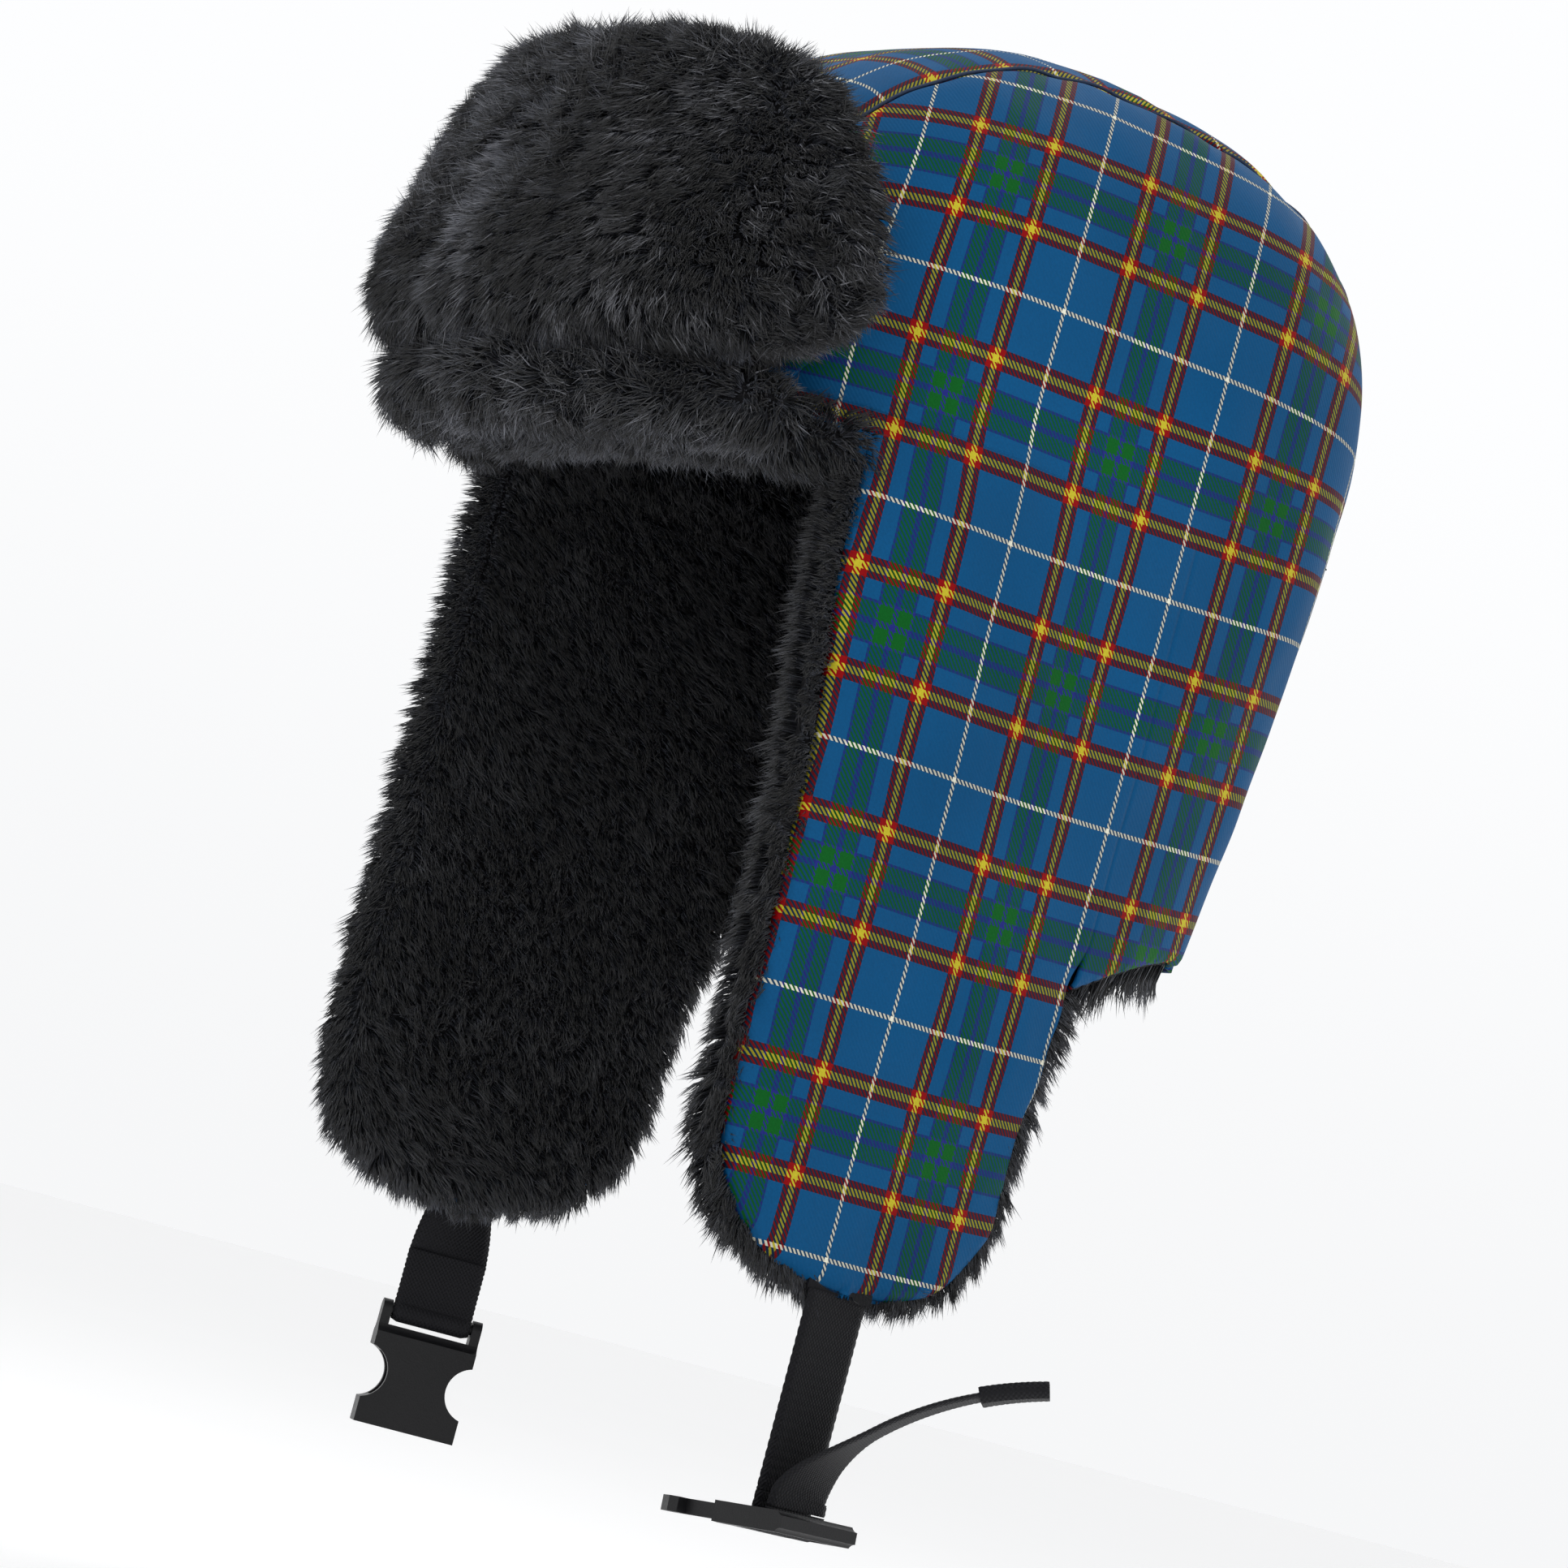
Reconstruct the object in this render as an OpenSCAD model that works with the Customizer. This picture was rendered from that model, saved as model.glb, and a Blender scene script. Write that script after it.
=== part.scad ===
// Trapper hat: a checked fabric crown with fur-lined ear flaps, a fur brow flap that folds down,
// and chin straps that end in the two halves of a side-release buckle.
// The hat sits with its head opening at the origin: front towards -Y, the wearer's left towards +X.

/* [Crown] */
// Half the crown's outside width at the brow line
crown_half_width = 98; // [92:1:104]
// Half the crown's outside length at the brow line
crown_half_length = 127; // [120:1:134]
// Height of the upright wall above the brow line
wall_height = 38; // [32:1:44]
// Rise of the dome above the wall
dome_rise = 103; // [94:1:110]
// Half the width of the centre strip
strip_half_width = 56; // [40:1:60]

/* [Layers] */
// Thickness of the checked outer fabric
shell_thickness = 1.2; // [0.8:0.1:1.6]
// Depth below the outside at which the wadding ends
wadding_depth = 4.2; // [3.6:0.1:5]
// Depth below the outside at which the crown's dome lining ends
lining_depth = 7.5; // [6:0.5:9]
// Depth below the outside at which the fur pile ends
fur_depth = 16; // [13:0.5:18]

/* [Ear flaps] */
// Front edge of an ear flap at its fold
flap_front_y = -92; // [-94:1:-88]
// Front edge of an ear flap near its rounded end
flap_front_low_y = -88; // [-92:1:-80]
// Rear edge of an ear flap, which is the slit beside the nape
flap_rear_y = 30; // [26:1:34]
// Rear edge of an ear flap near its rounded end
flap_rear_low_y = 24; // [18:1:28]
// Lowest point of the ear flap's fabric
flap_bottom_z = -236; // [-244:1:-225]
// Radius of the ear flap's rounded end
flap_round = 46; // [38:1:50]
// How far the fur reaches past the fabric edge
fur_margin = 5; // [3:0.5:7]

/* [Nape] */
// Height of the nape's lower edge at the middle of the back
nape_bottom_z = -113; // [-118:1:-108]
// Height of the notch where the nape meets an ear flap
notch_z = -134; // [-138:1:-128]

/* [Brow flap] */
// Height of the folded-up flap's top edge
brow_top_z = 98; // [90:1:104]
// Plan angle at which the flap ends on each side
brow_end_angle = 39; // [34:1:40]
// Distance from the crown wall to the front of the fur
brow_reach = 38; // [34:1:42]

/* [Straps] */
// Width of the webbing
webbing_width = 25; // [24:0.5:26]
// Thickness of the webbing
webbing_thickness = 1.6; // [1.4:0.1:2]
// Position of the left strap along the ear flap
strap_left_y = -34; // [-38:1:-28]
// Position of the right strap along the ear flap
strap_right_y = -26; // [-34:1:-22]
// Height of the buckle plug's webbing bar
plug_bar_z = -302; // [-306:1:-298]
// Height of the buckle socket's webbing bar
socket_bar_z = -274; // [-278:1:-270]
// Turn of the socket about the strap
socket_turn = 26; // [20:1:30]
// Downward tilt of the plug's prongs
plug_tilt_angle = 5; // [2:1:12]
// Turn of the left strap about its own length
strap_left_twist = 10; // [4:1:14]
// Length of the free tail past the buckle
tail_length = 81; // [60:1:90]

/* [Buckle] */
// Width of the buckle's plug and socket
buckle_width = 32; // [31:0.5:34]
// Thickness of the socket
socket_thickness = 10; // [9.6:0.2:11]
// Length of the socket below its webbing bar
socket_length = 36; // [34:1:38]
// Thickness of the plug's frame
plug_thickness = 6; // [5.6:0.2:6.4]
// Length of the prongs
prong_length = 22; // [20:1:24]

/* [Hidden] */
front_squareness = 3.0;
back_squareness = 2.7;
dome_squareness = 2.6;
front_slope = 0.34;
fold_z = -10;
fold_gap = 2;
layer_gap = 0.1;
wadding_gap = 0.9;
pile_gap = 0.4;
seam_gap = 0.3;
slit_gap = 1;
bar_radius = 1.7;
turn_radius = bar_radius + 0.1 + webbing_thickness / 2;
rail_inside = webbing_width / 2 + 0.5;
strap_top_z = flap_bottom_z - 4;
anchor_depth = 1.5;
anchor_lift = 2.5;
tail_gap = 0.3;
brow_stand_off = 4.8;
brow_top_stand_off = 6.5;
nape_draw_in = 0.125;
rim_stand_out = 10;
flap_stand_out = 6;
end_stand_out = 1.5;
dome_path_length = 150;
strip_front_share = 0.1;
strip_rear_share = 0.65;
cup_pole_angle = 12;
cup_dome_share = 0.75;
turn_short_side = 4;
turn_long_side = 7.7;

// ---- the hat's surface -------------------------------------------------------------------

function clamp01(t) = min(1, max(0, t));
function ease(t) = let (c = clamp01(t)) c * c * (3 - 2 * c);
function mix(a, b, t) = a + (b - a) * t;

// The crown's outline at plan angle th (0 is the front, 90 the wearer's left), depth d inside.
function ring(th, d) =
    let (a = crown_half_width - d, b = crown_half_length - d,
         n = cos(th) > 0 ? front_squareness : back_squareness,
         r = pow(pow(abs(sin(th)) / a, n) + pow(abs(cos(th)) / b, n), -1 / n))
    [r * sin(th), -r * cos(th)];

// Half the crown's width at a place along its length.
function half_width_at(y, d) =
    let (n = y < 0 ? front_squareness : back_squareness)
    (crown_half_width - d) * pow(1 - pow(clamp01(abs(y) / (crown_half_length - d)), n), 1 / n);

// The place along the length where the outline is x wide.
function length_at(x, d, n) =
    (crown_half_length - d) * pow(1 - pow(clamp01(abs(x) / (crown_half_width - d)), n), 1 / n);

// The skirt draws in towards the nape and stands out towards the front of the ear flaps.
function skirt(p, z) =
    let (draw_in = nape_draw_in * pow(min(1.6, max(0, (20 - z) / 140)), 1.3) * ease(p[1] / 90),
         forward = min(1.4, max(0, (45 - p[1]) / 130)),
         out = (rim_stand_out * ease((wall_height - z) / 60) + flap_stand_out * ease((10 - z) / 150))
             * pow(forward, 1.6) + end_stand_out * ease((10 - z) / 230))
    [p[0] * (1 - draw_in) + sign(p[0]) * out, p[1] * (1 - draw_in), z];

function wall_point(th, z, d) = skirt(ring(th, d), z);
function side_point(y, z, d) = skirt([half_width_at(y, d), y], z);

// The dome at a share f of the way from its top (0) to the wall (90 degrees).
function dome_point(th, f, d) =
    let (rho = pow(sin(f), 2 / dome_squareness), p = rho * ring(th, d))
    [p[0], p[1], dome_height(p[1], d) * pow(cos(f), 2 / dome_squareness) + wall_height];

function dome_height(y, d) = (dome_rise - d) * (1 - front_slope * pow(min(0, y) / crown_half_length, 2));

function dome_angle(rho) = asin(pow(clamp01(rho), dome_squareness / 2));

// A path from the centre-strip seam down to height low; s runs from 0 to 1.
function side_path(th, s, low, d) =
    let (seam_x = strip_half_width + seam_gap, start = dome_angle(seam_x / max(seam_x, ring(th, d)[0])),
         dome_len = (90 - start) / 90 * dome_path_length, wall_len = wall_height - low,
         share = dome_len / (dome_len + wall_len))
    s < share ? dome_point(th, mix(start, 90, s / share), d)
              : wall_point(th, mix(wall_height, low, (s - share) / (1 - share)), d);

// The centre strip at x, with t from 0 at the front rim to 1 at the nape's edge.
function strip_point(x, t, d) =
    let (front = length_at(x, d, front_squareness), back = length_at(x, d, back_squareness),
         over = (t - strip_front_share) / (strip_rear_share - strip_front_share),
         down = (t - strip_rear_share) / (1 - strip_rear_share))
    over < 0 ? skirt([x, -front], mix(0, wall_height, t / strip_front_share))
    : down > 0 ? skirt([x, back], mix(wall_height, nape_bottom_z, down))
    : let (q = -cos(180 * over),
           y = sign(q) * (q < 0 ? front : back) * pow(abs(q), 2 / dome_squareness * 0.9),
           n = y < 0 ? front_squareness : back_squareness,
           rho = pow(pow(abs(x) / (crown_half_width - d), n)
                     + pow(abs(y) / (crown_half_length - d), n), 1 / n))
      [x, y, wall_height
             + dome_height(y, d) * pow(1 - pow(clamp01(rho), dome_squareness), 1 / dome_squareness)];

// Plan angles where the outline crosses the seam.
function seam_angle_front() = atan2(strip_half_width + seam_gap,
    length_at(strip_half_width + seam_gap, 0, front_squareness));
function seam_angle_back() = 180 - atan2(strip_half_width + seam_gap,
    length_at(strip_half_width + seam_gap, 0, back_squareness));

// Plan angle of the slit between an ear flap and the nape, at depth d.
function slit_angle(d = 0) = let (y = flap_rear_y + slit_gap) 90 + atan2(y, half_width_at(y, d));

// The nape's lower edge rises from the notches to the middle of the back.
function nape_edge(th, extra = 0) =
    let (away = abs(th - 180), full = 180 - slit_angle())
    mix(nape_bottom_z, notch_z, pow(clamp01((away - full / 2) / (full / 2)), 1.3)) - extra;

// ---- solids from two facing grids of points ----------------------------------------------

// outer and inner are grids of the same size. Rows run towards +Y round the left, columns run down.
// With wrap the last row joins the first, and poles closes the first column with two points.
module sheet_solid(outer, inner, wrap = false, poles = []) {
    rows = len(outer);
    columns = len(outer[0]);
    count = rows * columns;
    last = columns - 1;
    spans = wrap ? rows : rows - 1;
    has_poles = len(poles) > 0;
    points = concat([for (r = outer) each r], [for (r = inner) each r], poles);
    function o(i, j) = (i % rows) * columns + j;
    function n(i, j) = count + o(i, j);
    faces = concat(
        [for (i = [0:spans - 1], j = [0:last - 1]) each [
            [o(i, j), o(i + 1, j), o(i + 1, j + 1)], [o(i, j), o(i + 1, j + 1), o(i, j + 1)],
            [n(i, j), n(i + 1, j + 1), n(i + 1, j)], [n(i, j), n(i, j + 1), n(i + 1, j + 1)]]],
        [for (i = [0:spans - 1]) each [
            [o(i, last), o(i + 1, last), n(i + 1, last)], [o(i, last), n(i + 1, last), n(i, last)]]],
        has_poles
            ? [for (i = [0:spans - 1]) each [
                [2 * count, o(i + 1, 0), o(i, 0)], [2 * count + 1, n(i, 0), n(i + 1, 0)]]]
            : [for (i = [0:spans - 1]) each [
                [o(i + 1, 0), o(i, 0), n(i, 0)], [o(i + 1, 0), n(i, 0), n(i + 1, 0)]]],
        wrap ? [] : [for (j = [0:last - 1]) each [
            [o(0, j), o(0, j + 1), n(0, j + 1)], [o(0, j), n(0, j + 1), n(0, j)],
            [o(rows - 1, j + 1), o(rows - 1, j), n(rows - 1, j)],
            [o(rows - 1, j + 1), n(rows - 1, j), n(rows - 1, j + 1)]]]);
    polyhedron(points, faces, convexity = 8);
}

// A layer between two depths, from a function of row share, column share and depth.
module layer(f, rows, columns, near, far, wrap = false) {
    function grid(d) = [for (i = [0:rows - (wrap ? 1 : 0)]) [for (j = [0:columns]) f(i / rows, j / columns, d)]];
    sheet_solid(grid(near), grid(far), wrap);
}

// ---- crown -------------------------------------------------------------------------------

module crown_centre_strip() {
    half = strip_half_width - seam_gap;
    color("royalblue")
        layer(function (i, j, d) strip_point(mix(half, -half, i), j, d), 8, 56, 0, shell_thickness);
}

module side_panel() {
    from = seam_angle_front();
    to = seam_angle_back();
    layer(function (i, j, d) side_path(mix(from, to, (1 - cos(180 * i)) / 2), j, fold_z, d),
        24, 14, 0, shell_thickness);
}

module crown_side_left() color("steelblue") side_panel();
module crown_side_right() color("steelblue") mirror([1, 0, 0]) side_panel();

// One side of the nape, between the slit and the centre strip.
module nape_panel() {
    to = seam_angle_back();
    layer(function (i, j, d) let (th = mix(slit_angle(d), to, i))
            wall_point(th, mix(fold_z - layer_gap, nape_edge(th), j), d),
        10, 8, 0, shell_thickness);
}

module nape_side_left() color("steelblue") nape_panel();
module nape_side_right() color("steelblue") mirror([1, 0, 0]) nape_panel();

// A cup over the whole dome, down to the wall's foot.
module dome_cup(near, far, low) {
    around = 40;
    down = 12;
    function path(th, s, d) =
        s < cup_dome_share ? dome_point(th, mix(cup_pole_angle, 90, s / cup_dome_share), d)
            : wall_point(th, mix(wall_height, low, (s - cup_dome_share) / (1 - cup_dome_share)), d);
    function grid(d) =
        [for (i = [0:around - 1]) [for (j = [0:down]) path(360 / around * i, j / down, d)]];
    sheet_solid(grid(near), grid(far), true, [dome_point(0, 0, near), dome_point(0, 0, far)]);
}

module crown_wadding()
    color("gainsboro") dome_cup(shell_thickness + wadding_gap, wadding_depth, fold_z);

module crown_dome_lining()
    color("dimgray") dome_cup(wadding_depth + layer_gap, lining_depth, wall_height - 6);

module crown_fur_band()
    color([0.12, 0.12, 0.14])
        layer(function (i, j, d) wall_point(360 * i, mix(wall_height - 7, fold_z, j), d),
            40, 4, wadding_depth + pile_gap, fur_depth, true);

module nape_wadding()
    color("gainsboro")
        layer(function (i, j, d) let (th = mix(slit_angle(d), 360 - slit_angle(d), i))
                wall_point(th, mix(fold_z - layer_gap, nape_edge(th, -1), j), d),
            24, 8, shell_thickness + wadding_gap, wadding_depth);

module nape_fur_lining()
    color([0.12, 0.12, 0.14])
        layer(function (i, j, d) let (th = mix(slit_angle(d), 360 - slit_angle(d), i))
                wall_point(th, mix(fold_z - layer_gap, nape_edge(th, fur_margin), j), d),
            24, 8, wadding_depth + pile_gap, fur_depth);

// ---- brow flap, folded up against the crown's front --------------------------------------

// The flap's ends are rounded: its half angle at a height.
function brow_half_angle(z) =
    brow_end_angle * (1 - 0.16 * ease((30 - z) / 30) - 0.14 * pow(clamp01((z - brow_top_z + 26) / 26), 2));

// A point a distance out from the crown's wall, along the wall's outward direction.
function brow_point(th, z, out) =
    let (p = ring(th, 0), q = ring(th + 0.5, 0) - ring(th - 0.5, 0), l = norm(q))
    [p[0] + out * q[1] / l, p[1] - out * q[0] / l, z];

// How far the flap's fabric side stands off the crown.
function brow_back(z) = mix(brow_stand_off, brow_top_stand_off, ease(z / brow_top_z));

// The fur's front face bulges over the middle and closes in at the top and the ends.
function brow_front(z, edge) =
    let (sideways = 1 - pow(abs(edge), 6), upwards = 1 - pow(clamp01((z - 40) / (brow_top_z - 38)), 5))
    mix(brow_back(z) + 12, brow_reach - 8 * ease((z - 30) / 80),
        pow(clamp01(sideways), 0.5) * pow(clamp01(upwards), 0.5));

module brow_layer(near, far, rows = 26, columns = 8, low = 6)
    layer(function (i, j, d) let (z = mix(brow_top_z, low, j), s = 2 * i - 1)
            brow_point(s * brow_half_angle(z), z, brow_back(z) + d),
        rows, columns, far, near);

module brow_flap_shell() color("steelblue") brow_layer(0, shell_thickness);

module brow_flap_wadding()
    color("gainsboro") brow_layer(shell_thickness + pile_gap, wadding_depth);

module brow_flap_fur() {
    near = wadding_depth + pile_gap;
    color([0.1, 0.1, 0.12])
        layer(function (i, j, d) let (z = mix(brow_top_z + 2, 6, j), s = 2 * i - 1)
                brow_point(s * brow_half_angle(z), z, d > near ? brow_front(z, s) : brow_back(z) + near),
            30, 10, near + 1, near);
}

// The rolled fold along the flap's foot, with a round section.
module brow_fold_roll() {
    centre_z = -5.2;
    section = 12;
    function radius(s) = 9.5 * pow(clamp01(1 - pow(abs(s), 8)), 0.5) + 1;
    function spot(s, a) = let (r = radius(s))
        brow_point(s * brow_end_angle * 0.93, centre_z + r * sin(a), 22 + 1.65 * r * cos(a));
    color([0.1, 0.1, 0.12])
        tube([for (i = [0:30]) [for (k = [0:section - 1]) spot(2 * i / 30 - 1, -360 * k / section)]]);
}

// A closed tube through rings of points, flat at both ends.
module tube(rings) {
    rows = len(rings);
    sides = len(rings[0]);
    points = [for (r = rings) each r];
    function at(i, k) = i * sides + (k % sides);
    polyhedron(points, concat(
        [for (i = [0:rows - 2], k = [0:sides - 1]) each [
            [at(i, k), at(i + 1, k), at(i + 1, k + 1)], [at(i, k), at(i + 1, k + 1), at(i, k + 1)]]],
        [[for (k = [0:sides - 1]) at(0, k)]],
        [[for (k = [sides - 1:-1:0]) at(rows - 1, k)]]), convexity = 6);
}

// ---- ear flaps ---------------------------------------------------------------------------

// Front and rear edge of a flap at a height, for a flap grown by extra all round.
function flap_bottom(extra) = flap_bottom_z - extra;
function flap_round_share(z, extra) =
    let (r = flap_round + extra, drop = clamp01((flap_bottom(extra) + r - z) / r))
    pow(clamp01(1 - pow(drop, 2.35)), 1 / 2.35);
function flap_front(z) = mix(flap_front_y, flap_front_low_y, ease((fold_z - z) / 120));
function flap_rear(z) =
    mix(flap_rear_y, flap_rear_low_y, ease((notch_z - z) / (notch_z - flap_bottom_z - flap_round)));
function flap_y(z, s, extra) =
    let (rear_extra = extra * ease((notch_z - 8 - z) / 12),
         front = flap_front(z) - extra, rear = flap_rear(z) + rear_extra,
         mid = (front + rear) / 2, half = (rear - front) / 2)
    mid + half * s * max(0.24, flap_round_share(z, extra));

module flap_layer(near, far, extra, rows = 12, columns = 16, lift = 0.6) {
    top = fold_z - fold_gap;
    low = flap_bottom(extra) + lift;
    layer(function (i, j, d) let (z = mix(top, low, 1 - pow(1 - j, 1.35)))
            side_point(flap_y(z, 2 * i - 1, extra), z, d),
        rows, columns, near, far);
}

module flap_shell() flap_layer(0, shell_thickness, 0);
module flap_wadding() flap_layer(shell_thickness + pile_gap, wadding_depth, -1.5, lift = 25);
module flap_fur() flap_layer(wadding_depth + pile_gap, fur_depth, fur_margin);

module ear_flap_left_shell() color("steelblue") flap_shell();
module ear_flap_left_wadding() color("gainsboro") flap_wadding();
module ear_flap_left_fur() color([0.12, 0.12, 0.14]) flap_fur();
module ear_flap_right_shell() color("steelblue") mirror([1, 0, 0]) flap_shell();
module ear_flap_right_wadding() color("gainsboro") mirror([1, 0, 0]) flap_wadding();
module ear_flap_right_fur() color([0.12, 0.12, 0.14]) mirror([1, 0, 0]) flap_fur();

// ---- webbing -----------------------------------------------------------------------------

// A flat band along a path: spots are centre points, across are directions of its width.
module band(spots, across, wide, thick) {
    last = len(spots) - 1;
    function along(i) = let (v = spots[min(last, i + 1)] - spots[max(0, i - 1)]) v / norm(v);
    function corner(i, a, b) =
        let (t = along(i), w0 = across[i], w = w0 - (w0 * t) * t, wn = w / norm(w), n = cross(t, wn))
        spots[i] + a * wide / 2 * wn + b * thick / 2 * n;
    tube([for (i = [0:last]) [corner(i, 1, 1), corner(i, -1, 1), corner(i, -1, -1), corner(i, 1, -1)]]);
}

// The end of a strap, sewn between the flap's fabric and its fur.
module anchor(y)
    layer(function (i, j, d) side_point(y + webbing_width * (i - 0.5),
            mix(flap_bottom_z + 24, strap_top_z + anchor_lift, j), d),
        4, 4, anchor_depth, anchor_depth + webbing_thickness);

function strap_place(y) = side_point(y, flap_bottom_z, anchor_depth + webbing_thickness / 2);

strap_left = strap_place(strap_left_y);
strap_right = strap_place(strap_right_y);
left_bar = [turn_radius, 0, plug_bar_z];

// The left strap's own frame: its standing part runs along Z, and its width along Y.
module place_left()
    translate([strap_left[0], strap_left_y, 0]) rotate([0, 0, strap_left_twist]) children();

module strap_left_anchor() color([0.06, 0.06, 0.08]) anchor(strap_left_y);
module strap_right_anchor() color([0.06, 0.06, 0.08]) mirror([1, 0, 0]) anchor(strap_right_y);

// The standing part of the left strap, which shortens as the buckle is pulled up.
module strap_left_webbing()
    color([0.06, 0.06, 0.08])
        place_left() translate([-webbing_thickness / 2, -webbing_width / 2, plug_bar_z + 8])
            cube([webbing_thickness, webbing_width, strap_top_z - plug_bar_z - 8]);

// The webbing's turn round the plug's bar, in the plane across the bar.
module strap_left_turn() {
    color([0.06, 0.06, 0.08]) place_left() translate(left_bar) rotate([90, 0, 0])
        linear_extrude(webbing_width, center = true) {
            translate([-turn_radius - webbing_thickness / 2, 0]) square([webbing_thickness, turn_long_side]);
            translate([turn_radius - webbing_thickness / 2, 0]) square([webbing_thickness, turn_short_side]);
            intersection() {
                difference() {
                    circle(turn_radius + webbing_thickness / 2, $fn = 48);
                    circle(turn_radius - webbing_thickness / 2, $fn = 48);
                }
                translate([-10, -20]) square([20, 20]);
            }
        }
}

// The free tail rises from the bar, then leans out and towards the back.
tail_start = left_bar + [turn_radius, 0, turn_short_side + layer_gap + tail_gap];
hem_from = 0.77;
function tail_spot(t) = tail_start + tail_length *
    [0.577 * tail_lean(t), 0.468 * tail_lean(t), t * (0.97 - 0.35 * t)];
function tail_lean(t) = pow(max(0, t - 0.05) / 0.95, 1.3);
function tail_across(t) = let (turn = 32 * ease(t / 0.4)) [-sin(turn), cos(turn), 0];

// A stretch of the tail between two shares of its length.
module tail_band(from, to, steps, thick) {
    shares = [for (i = [0:steps]) mix(from, to, i / steps)];
    color([0.06, 0.06, 0.08]) place_left()
        band([for (t = shares) tail_spot(t)], [for (t = shares) tail_across(t)], webbing_width, thick);
}

module strap_left_tail() tail_band(0, hem_from - 0.005, 16, webbing_thickness);

// The tail's end, folded back on itself twice and sewn.
module strap_left_tail_hem() tail_band(hem_from, 1, 5, 3 * webbing_thickness);

// ---- plug: the buckle's male half, with the bar that the webbing turns round ---------------

shoulder_from = 6.4;
shoulder_to = 13;
frame_back = 13;
prong_hinge_y = buckle_width / 2 - 4.6;
prong_wide = 2.8;
prong_thick = 4.4;
prong_gap = 0.3;

// The plug's own frame: the bar runs along Y, and the prongs point along X.
module place_plug()
    place_left() translate(left_bar) rotate([0, -plug_tilt_angle, 0]) rotate([0, 0, 180]) children();

module plug_frame() {
    rail = buckle_width / 2 - rail_inside;
    color([0.05, 0.05, 0.06]) place_plug() {
        difference() {
            union() {
                for (side = [-1, 1])
                    translate([-frame_back, side * (rail_inside + rail / 2) - rail / 2, -plug_thickness / 2])
                        cube([frame_back + shoulder_to, rail, plug_thickness]);
                translate([shoulder_from, -buckle_width / 2, -plug_thickness / 2])
                    cube([shoulder_to - shoulder_from, buckle_width, plug_thickness]);
                translate([-frame_back, -buckle_width / 2, -plug_thickness / 2])
                    cube([4, buckle_width, plug_thickness]);
            }
            for (side = [-1, 1], end = [-1, 1])
                translate([-frame_back, 0, side * (plug_thickness / 2 + 1.1)]) rotate([90, 0, 0])
                    cylinder(r = 2.4, h = buckle_width + 2, center = true, $fn = 32);
        }
        rotate([90, 0, 0]) cylinder(r = bar_radius, h = 2 * rail_inside + 1, center = true, $fn = 32);
    }
}

module plug_guide()
    color([0.05, 0.05, 0.06]) place_plug() translate([shoulder_to, 0, 0]) {
        translate([0.05, -2, -1.5]) cube([prong_length - 6, 4, 3]);
        translate([prong_length - 6, 0, 0]) cylinder(r = 2, h = 3, center = true, $fn = 32);
    }

// One springy prong with a hooked head.
module prong(side) {
    tip = prong_length;
    wide = prong_wide;
    place_plug() translate([shoulder_to + prong_gap, side * prong_hinge_y, -prong_thick / 2])
        linear_extrude(prong_thick) mirror([0, side < 0 ? 1 : 0])
            polygon([[0, -wide / 2], [tip * 0.55, -wide / 2], [tip - 1, -wide / 2 - 1],
                [tip, -wide / 2 + 0.5], [tip, wide / 2 + 0.6], [tip * 0.78, wide / 2 + 3.2], [tip * 0.62, wide / 2 + 3],
                [tip * 0.6, wide / 2], [0, wide / 2]]);
}

module plug_prong_front() color([0.05, 0.05, 0.06]) prong(1);
module plug_prong_rear() color([0.05, 0.05, 0.06]) prong(-1);

// ---- right strap and the socket, the buckle's female half ----------------------------------

loop_height = 20;
loop_turn_at = socket_bar_z + loop_height;

// The right strap runs straight down and turns about its own length to face the loop.
module strap_right_webbing() {
    steps = 8;
    function spot(i) = [-strap_right[0], strap_right_y,
        mix(strap_top_z, loop_turn_at + 0.3, i / steps)];
    color([0.06, 0.06, 0.08])
        band([for (i = [0:steps]) spot(i)],
            [for (i = [0:steps]) let (a = socket_turn * i / steps) [sin(a), cos(a), 0]],
            webbing_width, webbing_thickness);
}

module place_socket()
    translate([-strap_right[0], strap_right_y, socket_bar_z]) rotate([0, 0, -socket_turn]) children();

// The loop round the socket's bar, closed above it by stitching.
module strap_right_loop() {
    outside = turn_radius + webbing_thickness / 2;
    inside = turn_radius - webbing_thickness / 2;
    color([0.06, 0.06, 0.08]) place_socket() rotate([90, 0, 0])
        linear_extrude(webbing_width, center = true) difference() {
            union() {
                circle(outside, $fn = 48);
                translate([-outside, 0]) square([2 * outside, 4]);
                translate([-webbing_thickness, 3]) square([2 * webbing_thickness, loop_height - 3]);
            }
            circle(inside, $fn = 48);
            translate([-inside, 0]) square([2 * inside, 2.4]);
        }
}

mouth_width = buckle_width - 6;
mouth_thickness = 6.2;
waist_radius = 8.5;
waist_half = 9.5;
socket_top = -4.7;

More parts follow.
